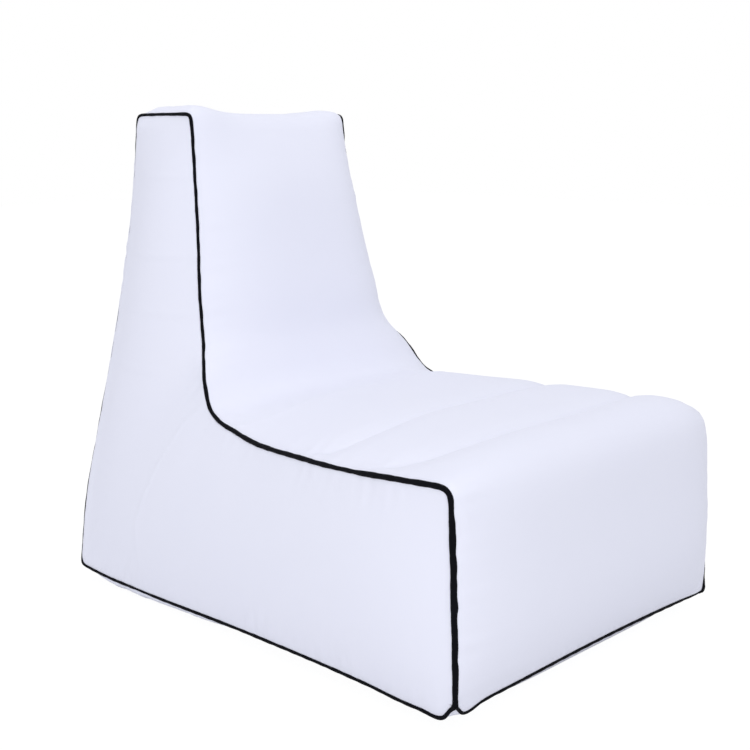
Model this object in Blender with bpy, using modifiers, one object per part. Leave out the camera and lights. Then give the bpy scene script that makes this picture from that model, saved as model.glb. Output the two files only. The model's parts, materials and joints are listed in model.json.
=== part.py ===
"""Inflatable lounge sofa: a welded seat chamber and a welded back chamber inside a zipped cloth cover.

Metres, +Z up. The front faces -Y and the sitter's right is -X. The origin is on the floor, at the middle
of the whole sofa's box.

Every skin of the sofa follows two loops in the side view. The seam loop carries the piping, where the
side panels meet the rest. The middle loop is the swollen section halfway between the two sides. A skin
that spans the width goes from one seam to the other through the middle loop.
"""
import math

import bmesh
import bpy
import numpy as np
from mathutils import Matrix, Vector

# Seam loop of the cover
seam_width = 0.750
seam_depth = 1.025
seam_height = 0.927
seam_floor_gap = 0.0250
rear_seam_rise = 0.0050
seam_rounding = 0.0100
bottom_rise_share = 0.45

# Side outline: shares of seam_depth from the front, of seam_height, and of half the seam width
front_outline_shares = ((0.0, 0.0, 1.0), (0.020, 0.397, 1.0))
seat_back_outline_shares = (
    (0.020, 0.397, 1.000), (0.138, 0.388, 1.000), (0.247, 0.376, 0.972), (0.370, 0.368, 0.924),
    (0.556, 0.371, 0.850), (0.660, 0.405, 0.812), (0.694, 0.460, 0.768), (0.733, 0.517, 0.682),
    (0.757, 0.617, 0.643), (0.786, 0.781, 0.585), (0.807, 0.930, 0.555), (0.812, 1.000, 0.553))
top_outline_shares = ((0.812, 1.000, 0.553), (0.980, 0.999, 0.553))
rear_outline_shares = (
    (0.980, 0.999, 0.553), (0.970, 0.836, 0.610), (0.977, 0.570, 0.724), (0.996, 0.301, 0.860),
    (1.003, 0.163, 0.934), (1.000, 0.0, 1.000))
bottom_outline_shares = (
    (1.000, 0.0, 1.000), (0.930, -0.006, 1.000), (0.800, -0.008, 1.000), (0.500, -0.004, 1.000),
    (0.200, -0.005, 1.000), (0.080, -0.009, 1.000), (0.0, 0.0, 1.000))
crease_share = 0.533
split_floor_share = 0.173

# Swell of the panels between their seams: heights off the seam loop at places along it
front_crown = 0.036
front_tube_crown = 0.050
seat_crown = 0.062
crease_crown = 0.012
back_crown = 0.050
top_edge_crown = 0.010
top_hump = 0.014
top_sag = 0.006
rear_crown = 0.040
rear_foot_crown = 0.024
belly = 0.058
side_seat_crown = 0.030
side_back_crown = 0.024
panel_rounding = 0.028
crown_rounding = 0.022
crown_place_shares = (
    ("front", 0.0), ("front", 0.30), ("front", 0.85), ("seat_back", 0.0), ("seat_back", 0.12),
    ("seat_back", 0.22), ("seat_back", 0.42), ("seat_back", crease_share), ("seat_back", 0.68),
    ("seat_back", 0.90), ("top", 0.0), ("top", 0.40), ("top", 1.0))
hump_place_shares = (("seat_back", 0.92), ("top", 0.25), ("top", 0.75), ("top", 1.0))

# Fall of a panel from its middle to its seams, as powers: fullness sets how flat the middle is, the
# shoulder how square the edges are
side_fullness = 3.0
edge_fade_power = 6.0
fullness_shares = (
    ("front", 0.0, 9.0), ("front", 0.8, 9.0), ("seat_back", 0.1, 6.0), ("top", 1.0, 6.0), ("rear", 0.1, 6.0),
    ("bottom", 0.0, 8.0))
shoulder_shares = (
    ("front", 0.0, 1.3), ("front", 0.12, 0.62), ("seat_back", 0.0, 0.62), ("seat_back", 0.08, 0.9),
    ("seat_back", 0.50, 1.0), ("seat_back", 0.60, 0.7), ("seat_back", 0.92, 0.7), ("top", 0.0, 1.0),
    ("top", 1.0, 1.0), ("rear", 0.1, 0.6), ("rear", 0.9, 0.6), ("bottom", 0.0, 0.5),
    ("bottom", 0.4, 0.7), ("bottom", 0.6, 1.3), ("bottom", 0.97, 1.3))

# Seat channels, over the webs that tie the seat's top to its bottom
front_channel_share = 0.310
rear_channel_share = 0.544
channel_side_share = 0.045
channel_depth = 0.014
channel_reach = 0.020

# Cloth, film, cord and their clearances
cloth_thickness = 0.0010
film_thickness = 0.0004
piping_radius = 0.0050
clearance = 0.0003
skin_clearance = 0.0006
chamber_edge_inset = 0.0110
chamber_split_gap = 0.0012
web_thickness = 0.0004
web_clearance = 0.0006
web_side_column_count = 1
back_web_foot_count = 4
back_web_head_count = 1
rear_film_drop = 0.0060
drop_place_shares = (
    ("front", 0.0), ("front", 0.15), ("top", 0.70), ("rear", 0.0), ("rear", 0.10), ("rear", 0.90),
    ("bottom", 0.0), ("bottom", 0.08), ("bottom", 0.92), ("bottom", 1.0))
side_film_drop = 0.0040
cross_cord_clearance = 0.0008

# Rows of each skin along the loop, as shares of the stretch that they lie on
edge_row_shares = (0.0, 0.06, 0.20, 0.40, 0.60, 0.80, 0.94, 1.0)
seat_row_shares = (
    0.0, 0.025, 0.09, 0.18, front_channel_share - channel_side_share, front_channel_share,
    front_channel_share + channel_side_share, 0.43, rear_channel_share - channel_side_share,
    rear_channel_share, rear_channel_share + channel_side_share, 0.66, 0.75, 0.85, 0.93, 1.0)
back_row_shares = (0.0, 0.045, 0.09, 0.14, 0.21, 0.29, 0.38, 0.47, 0.57, 0.67, 0.77, 0.88, 0.975, 1.0)
heel_row_shares = (0.0, 0.45, 0.88, 1.0)
rear_row_shares = (1.0, 0.98, 0.88, 0.77, 0.65, 0.53, 0.41, 0.29, 0.15, 0.02, 0.0)
column_shares = (-1.0, -0.95, -0.80, -0.42, 0.0, 0.42, 0.80, 0.95, 1.0)

# Zip in the rear panel: the straight part of the rear middle line carries it
zip_top_share = 0.14
zip_foot_share = 0.86
zip_ease_share = 0.10
floor_ease_share = 0.10
tape_length = 0.600
tape_thickness = 0.0005
tape_inner_edge = 0.0011
tape_outer_edge = 0.0165
slot_half_width = 0.0105
slot_end_margin = 0.0040
coil_inner_edge = 0.0008
coil_width = 0.0024
coil_height = 0.0018
coil_end_margin = 0.0080
stop_length = 0.0030
stop_reach = 0.0045
stop_height = 0.0016

# Zip slider and its pull
slider_length = 0.0120
slider_foot_share = 0.72
slider_plate = 0.0010
slider_lip = 0.0010
slider_post_width = 0.0010
slider_post_length = 0.0022
slider_rounding = 0.0012
bail_window_height = 0.0022
bail_window_length = 0.0034
bail_bar = 0.0010
bail_width = 0.0016
pull_bar = 0.0012
pull_hole_length = 0.0034
pull_side_clearance = 0.0004
pull_arm = 0.0013
pull_length = 0.0260
pull_width = 0.0080
pull_rounding = 0.0016
pull_hole_rounding = 0.0003

# Air valve in the rear: base, screwed insert, seals, flap and cap
valve_row_count = 2
valve_column_count = 5
base_flange_radius = 0.0380
base_flange_height = 0.0012
neck_radius = 0.0230
neck_bore_radius = 0.0195
neck_stand = 0.0040
insert_rim_radius = 0.0240
insert_rim_height = 0.0020
insert_depth = 0.0080
insert_bore_radius = 0.0145
insert_floor = 0.0015
collar_radius = 0.0165
collar_height = 0.0042
vent_radius = 0.0028
vent_circle_radius = 0.0088
vent_count = 6
flap_hole_radius = 0.0013
flap_radius = 0.0125
flap_thickness = 0.0008
flap_stem_radius = 0.0010
flap_knob_radius = 0.0022
flap_knob_height = 0.0012
seal_height = 0.0008
cap_radius = 0.0200
cap_wall = 0.0030
cap_top = 0.0020
cap_seal_height = 0.0008
cap_rib_depth = 0.0008
cap_rib_width = 0.0020
cap_rib_count = 12
eyelet_flange_radius = 0.0310
eyelet_flange_height = 0.0010
eyelet_wall = 0.0012

# Passage between the chambers
port_radius = 0.0200
port_bore_radius = 0.0145
port_length = 0.0140

# Fineness
outline_steps = 40
loop_count = 1800
turned_segments = 24
weld_distance = 0.00001
cutter_overrun = 0.0080

# Values that several pieces share
piping_inset = piping_radius + clearance
cross_seam_inset = cloth_thickness + clearance
skin_inset = cloth_thickness + skin_clearance
low_seam = piping_radius + seam_floor_gap

cloth_white = (0.80, 0.80, 0.90)
cord_black = (0.010, 0.010, 0.013)
film_grey = (0.55, 0.57, 0.60)
valve_grey = (0.30, 0.31, 0.33)
seal_black = (0.02, 0.02, 0.02)
zip_white = (0.74, 0.74, 0.80)
metal_grey = (0.62, 0.63, 0.66)


# Loops

def smooth_step(share):
    """Rises from 0 to 1 with level ends, as 3x^2 - 2x^3."""
    share = np.clip(share, 0.0, 1.0)
    return share * share * (3 - 2 * share)


def outline_point(depth_share, height_share, width_share):
    """Half width, distance behind the front seam and height of one point of the seam loop."""
    rise = rear_seam_rise * smooth_step(depth_share / bottom_rise_share) * (1 - height_share)
    return (width_share * seam_width / 2, depth_share * seam_depth,
            low_seam + height_share * seam_height + rise)


def through(points):
    """Cubic spans through the points, each with the slopes of its neighbouring chords."""
    points = np.array(points)
    chords = np.linalg.norm(np.diff(points, axis=0), axis=1)
    slopes = np.gradient(points, np.concatenate(([0.0], np.cumsum(chords))), axis=0)
    u = np.linspace(0, 1, outline_steps, endpoint=False)[:, None]
    spans = [(2 * u ** 3 - 3 * u ** 2 + 1) * points[i] + (u ** 3 - 2 * u ** 2 + u) * chord * slopes[i]
             + (3 * u ** 2 - 2 * u ** 3) * points[i + 1] + (u ** 3 - u ** 2) * chord * slopes[i + 1]
             for i, chord in enumerate(chords)]
    return np.vstack(spans + [points[-1:]])


def arc_lengths(curve):
    """Distance along the curve at each of its points."""
    return np.concatenate(([0.0], np.cumsum(np.linalg.norm(np.diff(curve, axis=0), axis=1))))


def evenly(curve, count):
    """The curve again at count equal steps, without its last point."""
    along = arc_lengths(curve)
    wanted = np.linspace(0, along[-1], count, endpoint=False)
    return np.stack([np.interp(wanted, along, column) for column in curve.T], axis=1)


def bell(reach):
    """Weights of a running mean whose spread is reach, and how many steps it reaches."""
    half = max(1, int(3 * reach / loop_step))
    weights = np.exp(-0.5 * (np.arange(-half, half + 1) * loop_step / reach) ** 2)
    return weights / weights.sum(), half


def blurred_round(curve, reach):
    """Running mean along a closed curve, which rounds its corners."""
    weights, half = bell(reach)
    padded = np.concatenate((curve[-half:], curve, curve[:half]))
    return np.stack([np.convolve(column, weights, "valid") for column in padded.T], axis=1)


def blurred_between(curve, reach):
    """Running mean along an open curve whose two ends stay where they are."""
    weights, half = bell(reach)
    padded = np.concatenate((2 * curve[0] - curve[half:0:-1], curve, 2 * curve[-1] - curve[-2:-half - 2:-1]))
    return np.stack([np.convolve(column, weights, "valid") for column in padded.T], axis=1)


def outward(curve):
    """Unit normals of a closed loop of (y, z) points that runs up the front and back along the top."""
    step = np.roll(curve, -1, axis=0) - np.roll(curve, 1, axis=0)
    normal = np.stack((-step[:, 1], step[:, 0]), axis=1)
    return normal / np.linalg.norm(normal, axis=1)[:, None]


stretches = {name: through([outline_point(*row) for row in rows]) for name, rows in (
    ("front", front_outline_shares), ("seat_back", seat_back_outline_shares), ("top", top_outline_shares),
    ("rear", rear_outline_shares), ("bottom", bottom_outline_shares))}
loop_step = sum(arc_lengths(curve)[-1] for curve in stretches.values()) / loop_count
counts = {name: round(arc_lengths(curve)[-1] / loop_step) for name, curve in stretches.items()}
starts = dict(zip(counts, np.concatenate(([0], np.cumsum(list(counts.values())[:-1]))).tolist()))
loop_total = sum(counts.values())
seam = blurred_round(np.vstack([evenly(curve, counts[name]) for name, curve in stretches.items()]),
                     seam_rounding)


def station(stretch, share):
    """Place on the loop, counted in loop steps from the front's foot."""
    return starts[stretch] + np.asarray(share) * counts[stretch]


def moved(place, distance):
    """The station at a distance further along the rounded seam loop."""
    along = np.concatenate(([0.0], np.cumsum(np.linalg.norm(np.roll(seam, -1, axis=0) - seam, axis=1))))
    along = np.concatenate((along[:-1] - along[-1], along, along[1:] + along[-1]))
    places = np.arange(-loop_total, 2 * loop_total + 1)
    return float(np.interp(np.interp(place, places, along) + distance, along, places))


def at(curve, stations):
    """Points of a closed curve at the given stations."""
    stations = np.asarray(stations) % loop_total
    places = np.arange(loop_total + 1)
    closed = np.vstack((curve, curve[:1]))
    return np.stack([np.interp(stations, places, column) for column in closed.T], axis=-1)


def sizes_along(places, sizes):
    """A size at every loop step, straight between its values at (stretch, share) places."""
    return np.interp(np.arange(loop_total), [station(stretch, share) for stretch, share in places], sizes)


def powers_along(rows):
    """A power at every loop step, from (stretch, share, power) rows."""
    return sizes_along([row[:2] for row in rows], [row[2] for row in rows])


def middle_loop():
    """The swollen section at half the width, as (y, z) points, one for each step of the seam loop."""
    rear, bottom = starts["rear"], starts["bottom"]
    closed = np.vstack((seam, seam[:1]))[:, 1:]
    crown = sizes_along(crown_place_shares, (
        0.0, front_crown, front_crown, front_crown, front_tube_crown, seat_crown, seat_crown, crease_crown,
        back_crown, back_crown, top_edge_crown, -top_sag, -top_sag))
    upper = blurred_between(closed[:rear + 1], panel_rounding)
    swell = blurred_between(crown[:rear + 1, None], crown_rounding)[:, 0]
    steps = np.arange(rear + 1)
    for share in (front_channel_share, rear_channel_share):
        along = (steps - station("seat_back", share * crease_share)) * loop_step
        swell -= channel_depth * np.exp(-(along / channel_reach) ** 2)
    upper = upper + swell[:, None] * outward_open(upper)

    back = closed[rear:bottom + 1]
    share = np.linspace(0, 1, len(back))
    head, foot = at(seam, station("rear", (zip_top_share, zip_foot_share)))[:, 1:]
    head[0] += rear_crown
    foot[0] += rear_foot_crown
    slope = (head[0] - foot[0]) / (head[1] - foot[1])
    line = foot[0] + (back[:, 1] - foot[1]) * slope
    ease = smooth_step(share / zip_ease_share) * smooth_step((1 - share) / zip_ease_share)
    back = np.stack((back[:, 0] * (1 - ease) + line * ease, back[:, 1]), axis=1)

    under = closed[bottom:].copy()
    share = np.linspace(0, 1, len(under))
    ease = smooth_step(share / floor_ease_share) * smooth_step((1 - share) / floor_ease_share)
    under[:, 1] -= belly * ease
    return np.vstack((upper[:-1], back[:-1], under[:-1]))


def outward_open(curve):
    """Unit normals of an open (y, z) curve that runs the way of the loop."""
    step = np.gradient(curve, axis=0)
    normal = np.stack((-step[:, 1], step[:, 0]), axis=1)
    return normal / np.linalg.norm(normal, axis=1)[:, None]


# Stations of the rows: up the front, over the seat and the back, over the top, down the rear and under
# the floor
front_rows = station("front", edge_row_shares)
seat_rows = station("seat_back", np.array(seat_row_shares) * crease_share)
back_rows = station("seat_back", crease_share + np.array(back_row_shares) * (1 - crease_share))
top_rows = station("top", edge_row_shares)
rear_rows = station("rear", rear_row_shares)[::-1]
heel_rows = station("bottom", split_floor_share * (1 - np.array(heel_row_shares)))
floor_rows = station("bottom", 1 - np.array(seat_row_shares) * (1 - split_floor_share))
all_rows = np.unique(np.concatenate((front_rows, seat_rows, back_rows, top_rows, rear_rows, heel_rows,
                                     floor_rows)).round(6) % loop_total)


def mitres():
    """Outward directions along the seam loop, long enough at a bend to keep a border parallel to it."""
    corners = at(seam, all_rows)[:, 1:]
    step = np.roll(corners, -1, axis=0) - corners
    after = np.stack((-step[:, 1], step[:, 0]), axis=1) / np.linalg.norm(step, axis=1)[:, None]
    before = np.roll(after, 1, axis=0)
    mitre = (before + after) / (1 + (before * after).sum(axis=1))[:, None]
    places = np.append(all_rows, loop_total)
    closed = np.vstack((mitre, mitre[:1]))
    return np.stack([np.interp(np.arange(loop_total), places, column) for column in closed.T], axis=1)


middle = middle_loop()
seam_normals = mitres()
middle_normals = outward(blurred_round(middle, seam_rounding))
fullness = powers_along(fullness_shares)
shoulder = powers_along(shoulder_shares)
humps = sizes_along(hump_place_shares, (0.0, top_hump, top_hump, 0.0))


class Skin:
    """One closed skin of the sofa: the cover's outside, or an air chamber's outside within it."""

    def __init__(self, edge_inset, drops, side_drop, floor):
        """edge_inset pulls the seam loop in, drops pull the middle loop in and side_drop the sides' middle,
        floor is the lowest height."""
        inset = seam_normals * edge_inset
        self.seam = np.column_stack((seam[:, 0] - edge_inset, seam[:, 1:] - inset))
        self.middle = middle - middle_normals * drops[:, None]
        self.floor = floor
        self.side_swell = edge_inset - side_drop

    def across(self, stations, columns=column_shares, seam_loop=None):
        """Points of the skin at each station and each share of the half width: out to the seam loop the
        skin falls off from the middle loop as (1 - |t|^fullness)^shoulder, and the top has a hump on each
        side, as 4t^4(1 - t^4)."""
        edge = at(self.seam if seam_loop is None else seam_loop, stations)[:, None, :]
        centre = at(self.middle, stations)[:, None, :]
        lift = at(humps[:, None], stations)[:, None, :] * at(middle_normals, stations)[:, None, :]
        t = np.array(columns)[None, :, None]
        full = 1 - np.abs(t) ** at(fullness[:, None], stations)[:, None, :]
        full = full ** at(shoulder[:, None], stations)[:, None, :]
        section = edge[..., 1:] * (1 - full) + centre * full + lift * 4 * t ** 4 * (1 - t ** 4)
        section[..., 1] = np.maximum(section[..., 1], self.floor)
        return np.concatenate((t * edge[..., :1], section), axis=2)

    def side(self, columns, rows=edge_row_shares):
        """Points of the side at x < 0. columns holds the stations on the floor and rear side, those on the
        seat and back side, and the shares of the way from the front edge to the top edge. Straight lines
        join the two, the ends follow the front and top seams, and the whole swells along its normals."""
        outer, inner, way = columns
        v = np.array(rows)[None, :, None]
        u = np.array(way)[:, None, None]
        lines = at(self.seam, outer)[:, None, :] * (1 - v) + at(self.seam, inner)[:, None, :] * v
        ends = np.stack((at(self.seam, station("front", rows)),
                         at(self.seam, station("top", 1 - np.array(rows)))))
        base = lines.copy()
        for end, weight in ((0, (1 - u) ** edge_fade_power), (-1, u ** edge_fade_power)):
            base += weight * (ends[end] - lines[end]) * (way[end] in (0.0, 1.0))
        base[..., 0] *= -1
        normal = np.cross(np.gradient(base, axis=1), np.gradient(base, axis=0))
        normal /= np.linalg.norm(normal, axis=2)[..., None]
        crown = side_seat_crown * (1 - u) + side_back_crown * u + self.side_swell
        full = (1 - np.abs(2 * u - 1) ** (2 * side_fullness)) * (1 - np.abs(2 * v - 1) ** side_fullness)
        return base + normal * crown * full


def chamber_drops():
    """How far the air chambers' middle loop lies inside the cover's: close to the cloth, deeper behind the
    zip, and well clear of the seams that cross the width."""
    return sizes_along(drop_place_shares, (
        chamber_edge_inset, skin_inset, skin_inset, chamber_edge_inset, rear_film_drop, rear_film_drop,
        chamber_edge_inset, skin_inset, skin_inset, chamber_edge_inset))


cover = Skin(0.0, np.zeros(loop_total), 0.0, 0.0)
air = Skin(chamber_edge_inset, chamber_drops(), side_film_drop, skin_inset)

# Border of the panels that span the width: clear of the side piping, square to its run
narrowing = np.gradient(seam[:, 0]) / loop_step
panel_edge = cover.seam - np.column_stack((piping_inset * np.sqrt(1 + narrowing ** 2),
                                           np.zeros((loop_total, 2))))


def joined(*runs):
    """Runs of stations end to end, each without the first station of the next."""
    return np.concatenate([run[:-1] for run in runs[:-1]] + [runs[-1]])


# Making objects

def remove_everything():
    """Clears the file of the objects that it opened with."""
    for old in list(bpy.data.objects):
        bpy.data.objects.remove(old, do_unlink=True)


def new_collection(name):
    """A collection linked to the scene."""
    collection = bpy.data.collections.new(name)
    bpy.context.scene.collection.children.link(collection)
    return collection


remove_everything()
sofa = new_collection("inflatable_sofa")
cutters = new_collection("cutters")


def material(name, colour, roughness, metallic=0.0):
    """A plain finish for one object."""
    made = bpy.data.materials.new(name)
    made.use_nodes = True
    shader = made.node_tree.nodes["Principled BSDF"]
    shader.inputs["Base Color"].default_value = (*colour, 1)
    shader.inputs["Roughness"].default_value = roughness
    shader.inputs["Metallic"].default_value = metallic
    return made


def add_object(name, data, finish=None, parent=None, collection=None):
    """Links the data as an object, with its own finish, under its parent."""
    made = bpy.data.objects.new(name, data)
    (collection or sofa).objects.link(made)
    made.parent = parent or origin
    if finish is not None:
        data.materials.append(material(name, *finish))
    return made


def add_empty(name, matrix=None, parent=None):
    """A bare frame that carries pieces."""
    made = bpy.data.objects.new(name, None)
    sofa.objects.link(made)
    made.parent = parent
    if matrix is not None:
        made.matrix_local = matrix
    return made


origin = add_empty("sofa_origin")

CLOTH = (cloth_white, 0.85)
CORD = (cord_black, 0.45)
FILM = (film_grey, 0.35)
VALVE = (valve_grey, 0.40)
SEAL = (seal_black, 0.60)
TAPE = (zip_white, 0.80)
METAL = (metal_grey, 0.35, 1.0)


def add_grid(mesh, points):
    """Adds a grid of faces through a table of points; its faces look along columns x rows."""
    rows, columns = points.shape[0] - 1, points.shape[1] - 1
    made = bmesh.ops.create_grid(mesh, x_segments=columns, y_segments=rows, size=1)
    for vert in made["verts"]:
        row = round((vert.co.y + 1) / 2 * rows)
        column = round((vert.co.x + 1) / 2 * columns)
        vert.co = points[row, column]


def skin_object(name, tables, thickness, finish):
    """A skin through one or more tables of points, welded where they meet and thickened inwards."""
    mesh = bmesh.new()
    for points in tables:
        add_grid(mesh, points)
    bmesh.ops.remove_doubles(mesh, verts=mesh.verts, dist=weld_distance)
    bmesh.ops.triangulate(mesh, faces=mesh.faces, quad_method="FIXED")
    data = bpy.data.meshes.new(name)
    mesh.to_mesh(data)
    mesh.free()
    data.shade_smooth()
    made = add_object(name, data, finish)
    wall = made.modifiers.new("wall", "SOLIDIFY")
    wall.thickness = thickness
    wall.offset = -1
    wall.use_even_offset = True
    return made


def combine(target, tool, operation):
    """Joins the tool to the target, keeps what they share, or takes the tool's shape out."""
    made = target.modifiers.new(tool.name, "BOOLEAN")
    made.operation = operation
    made.solver = "EXACT"
    made.object = tool


def cut(target, cutter):
    """Takes the cutter's shape out of the target."""
    combine(target, cutter, "DIFFERENCE")


def guide(made):
    """Hides a cutter or a tool shape."""
    made.hide_render = True
    made.display_type = "WIRE"
    return made


def box_mesh(name, low, high):
    """A box between two corners."""
    mesh = bmesh.new()
    bmesh.ops.create_cube(mesh, size=1)
    low, high = Vector(low), Vector(high)
    for vert in mesh.verts:
        vert.co = Vector([a + (b - a) * (share + 0.5) for a, b, share in zip(low, high, vert.co)])
    data = bpy.data.meshes.new(name)
    mesh.to_mesh(data)
    mesh.free()
    return data


def cylinder_tool(name, radius, low, high, parent, segments=turned_segments):
    """A hidden cylinder along the parent's Z axis."""
    mesh = bmesh.new()
    bmesh.ops.create_cone(mesh, cap_ends=True, segments=segments, radius1=radius, radius2=radius,
                          depth=high - low)
    bmesh.ops.translate(mesh, verts=mesh.verts, vec=(0, 0, (low + high) / 2))
    data = bpy.data.meshes.new(name)
    mesh.to_mesh(data)
    mesh.free()
    return guide(add_object(name, data, parent=parent, collection=cutters))


def turned(name, profile, finish, parent, segments=turned_segments, collection=None):
    """A turned piece: a profile of (radius, height) points that runs down its outer side."""
    mesh = bmesh.new()
    verts = [mesh.verts.new((radius, 0, height)) for radius, height in profile]
    pairs = list(zip(verts, verts[1:]))
    if min(radius for radius, _ in profile) > 0:
        pairs.append((verts[-1], verts[0]))
    for pair in pairs:
        mesh.edges.new(pair)
    data = bpy.data.meshes.new(name)
    mesh.to_mesh(data)
    mesh.free()
    made = add_object(name, data, finish, parent, collection)
    spin = made.modifiers.new("turn", "SCREW")
    spin.angle = math.tau
    spin.steps = segments
    spin.render_steps = segments
    spin.use_merge_vertices = True
    spin.merge_threshold = weld_distance
    weld = made.modifiers.new("weld", "WELD")
    weld.merge_threshold = weld_distance
    return made


def rounded_outline(low, high, radius, corner_steps=3):
    """Corners of a rectangle with round corners, anticlockwise."""
    points = []
    corners = ((high[0], high[1]), (low[0], high[1]), (low[0], low[1]), (high[0], low[1]))
    for corner, (x, y) in enumerate(corners):
        centre = (x - radius if x == high[0] else x + radius, y - radius if y == high[1] else y + radius)
        for step in range(corner_steps + 1):
            angle = math.pi / 2 * (corner + step / corner_steps)
            points.append((centre[0] + radius * math.cos(angle), centre[1] + radius * math.sin(angle)))
    return points


def flat_outline(name, outlines, thickness, finish, parent, collection=None):
    """A flat piece in the parent's XY plane, from its outline and those of its holes."""
    data = bpy.data.curves.new(name, "CURVE")
    data.dimensions = "2D"
    data.fill_mode = "BOTH"
    data.extrude = thickness / 2
    for outline in outlines:
        line = data.splines.new("POLY")
        line.points.add(len(outline) - 1)
        line.use_cyclic_u = True
        for point, (x, y) in zip(line.points, outline):
            point.co = (x, y, 0, 1)
    return add_object(name, data, finish, parent, collection)


def meshed(made, collection=None):
    """The same piece as a mesh with its caps welded, in place of the curve."""
    bpy.context.view_layer.update()
    evaluated = made.evaluated_get(bpy.context.evaluated_depsgraph_get())
    data = bpy.data.meshes.new_from_object(evaluated)
    mesh = bmesh.new()
    mesh.from_mesh(data)
    bmesh.ops.remove_doubles(mesh, verts=mesh.verts, dist=weld_distance)
    mesh.to_mesh(data)
    mesh.free()
    name, parent, place = made.name, made.parent, made.matrix_world.copy()
    finishes = list(made.data.materials)
    bpy.data.objects.remove(made, do_unlink=True)
    data.materials.clear()
    for finish in finishes:
        data.materials.append(finish)
    solid = add_object(name, data, parent=parent, collection=collection)
    solid.name = name
    solid.matrix_world = place
    return solid


def frame_on(point, normal):
    """A frame at the point whose Z axis is the normal and whose X axis stays level."""
    z = Vector(normal).normalized()
    x = Vector((z.y, -z.x, 0)).normalized()
    y = z.cross(x)
    turn = Matrix((x, y, z)).transposed().to_4x4()
    return Matrix.Translation(Vector(point)) @ turn


# Cover

def cover_rows(stations, first_inset, last_inset):
    """The stations with the first and last moved in from a crossing seam, by distances along the loop."""
    rows = np.array(stations, float)
    rows[0] = moved(rows[0], first_inset)
    rows[-1] = moved(rows[-1], -last_inset)
    return rows


def cover_panel(name, stations, first_inset, last_inset):
    """A panel of cloth that spans the width between the two side pipings."""
    points = cover.across(cover_rows(stations, first_inset, last_inset), seam_loop=panel_edge)
    return skin_object(name, [points], cloth_thickness, CLOTH)


def side_columns():
    """Stations of the side panel's cross lines on both long sides, and their shares of the way."""
    outer = np.concatenate((floor_rows, heel_rows[1:], rear_rows[::-1][1:]))
    inner = joined(seat_rows, back_rows)
    return outer, inner, np.linspace(0, 1, len(inner))


def side_panels():
    """The two L-shaped side panels, whose borders stop at the piping."""
    panel = Skin(0.0, np.zeros(loop_total), 0.0, 0.0)
    panel.seam[:, 1:] -= seam_normals * piping_inset
    points = panel.side(side_columns())
    mirrored = points[:, ::-1] * (-1, 1, 1)
    return (skin_object("cover_side_right", [points], cloth_thickness, CLOTH),
            skin_object("cover_side_left", [mirrored], cloth_thickness, CLOTH))


def cord(name, points, closed):
    """Piping along a run of points."""
    data = bpy.data.curves.new(name, "CURVE")
    data.dimensions = "3D"
    data.bevel_depth = piping_radius
    data.bevel_resolution = 2
    data.use_fill_caps = True
    line = data.splines.new("POLY")
    line.points.add(len(points) - 1)
    line.use_cyclic_u = closed
    for point, place in zip(line.points, points):
        point.co = (*place, 1)
    return add_object(name, data, CORD)


def piping():
    """Two closed loops along the side seams, and straight lengths across the floor's front and rear edge."""
    run = at(cover.seam, all_rows)
    cord("piping_right", run * (-1, 1, 1), True)
    cord("piping_left", run, True)
    for name, stretch in (("piping_front_edge", "front"), ("piping_rear_edge", "bottom")):
        half, y, z = at(cover.seam, station(stretch, 0.0))
        reach = half - piping_radius - cross_cord_clearance
        cord(name, [(-reach, y, z), (reach, y, z)], False)


# Air chambers

def shifted(points, end, stations):
    """A table of points whose last (-1) or first (0) row has moved towards its neighbour by half the gap
    between the chambers."""
    made = points.copy()
    other = -2 if end else 1
    share = chamber_split_gap / 2 / loop_step / abs(stations[end] - stations[other])
    made[end] += (points[other] - points[end]) * share
    return made


def wall_between(low_row, high_row, right_side, left_side):
    """A wall across the chamber, between its floor row and top row and its two side columns."""
    v = np.array(edge_row_shares)[:, None, None]
    t = (np.array(column_shares)[None, :, None] + 1) / 2
    lines = low_row[None] * (1 - v) + high_row[None] * v
    right = right_side[:, None] - lines[:, :1]
    left = left_side[:, None] - lines[:, -1:]
    return lines + right * (1 - t) + left * t


def seat_chamber(side):
    """The front chamber: front, seat, floor, sides and the wall towards the back chamber."""
    upper = shifted(air.across(joined(front_rows, seat_rows)), -1, seat_rows)
    under = shifted(air.across(floor_rows[::-1]), 0, floor_rows[::-1])
    side = shifted(side[:len(seat_rows)], -1, seat_rows)
    left = side[:, ::-1] * (-1, 1, 1)
    wall = wall_between(under[0], upper[-1], side[-1], left[-1, ::-1])[:, ::-1]
    return (skin_object("seat_chamber", [upper, under, side, left, wall], film_thickness, FILM), upper,
            under, wall)


def back_chamber(side):
    """The rear chamber: back, top, rear, heel, sides and the wall towards the seat chamber."""
    outer_rows = joined(rear_rows, heel_rows[::-1])
    upper = shifted(air.across(joined(back_rows, top_rows)), 0, back_rows)
    under = shifted(air.across(outer_rows), -1, outer_rows)
    side = shifted(side[-len(back_rows):], 0, back_rows)
    left = side[:, ::-1] * (-1, 1, 1)
    wall = wall_between(under[-1], upper[0], side[0], left[0, ::-1])
    return skin_object("back_chamber", [upper, under, side, left, wall], film_thickness, FILM)


def seat_webs(upper, under):
    """Two upright sheets of film that hold the seat's top down along its channels."""
    gap = film_thickness + web_clearance
    inner = slice(web_side_column_count, -web_side_column_count)
    for name, share in (("seat_web_front", front_channel_share), ("seat_web_rear", rear_channel_share)):
        row = len(front_rows) - 1 + seat_row_shares.index(share)
        high = upper[row, inner] - (0, 0, gap)
        floor_z = [np.interp(-place[1], -column[:, 1], column[:, 2])
                   for place, column in zip(high, under[:, inner].swapaxes(0, 1))]
        low = np.column_stack((high[:, :2], np.array(floor_z) + gap))
        skin_object(name, [np.stack((low, high))], web_thickness, FILM)


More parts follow.
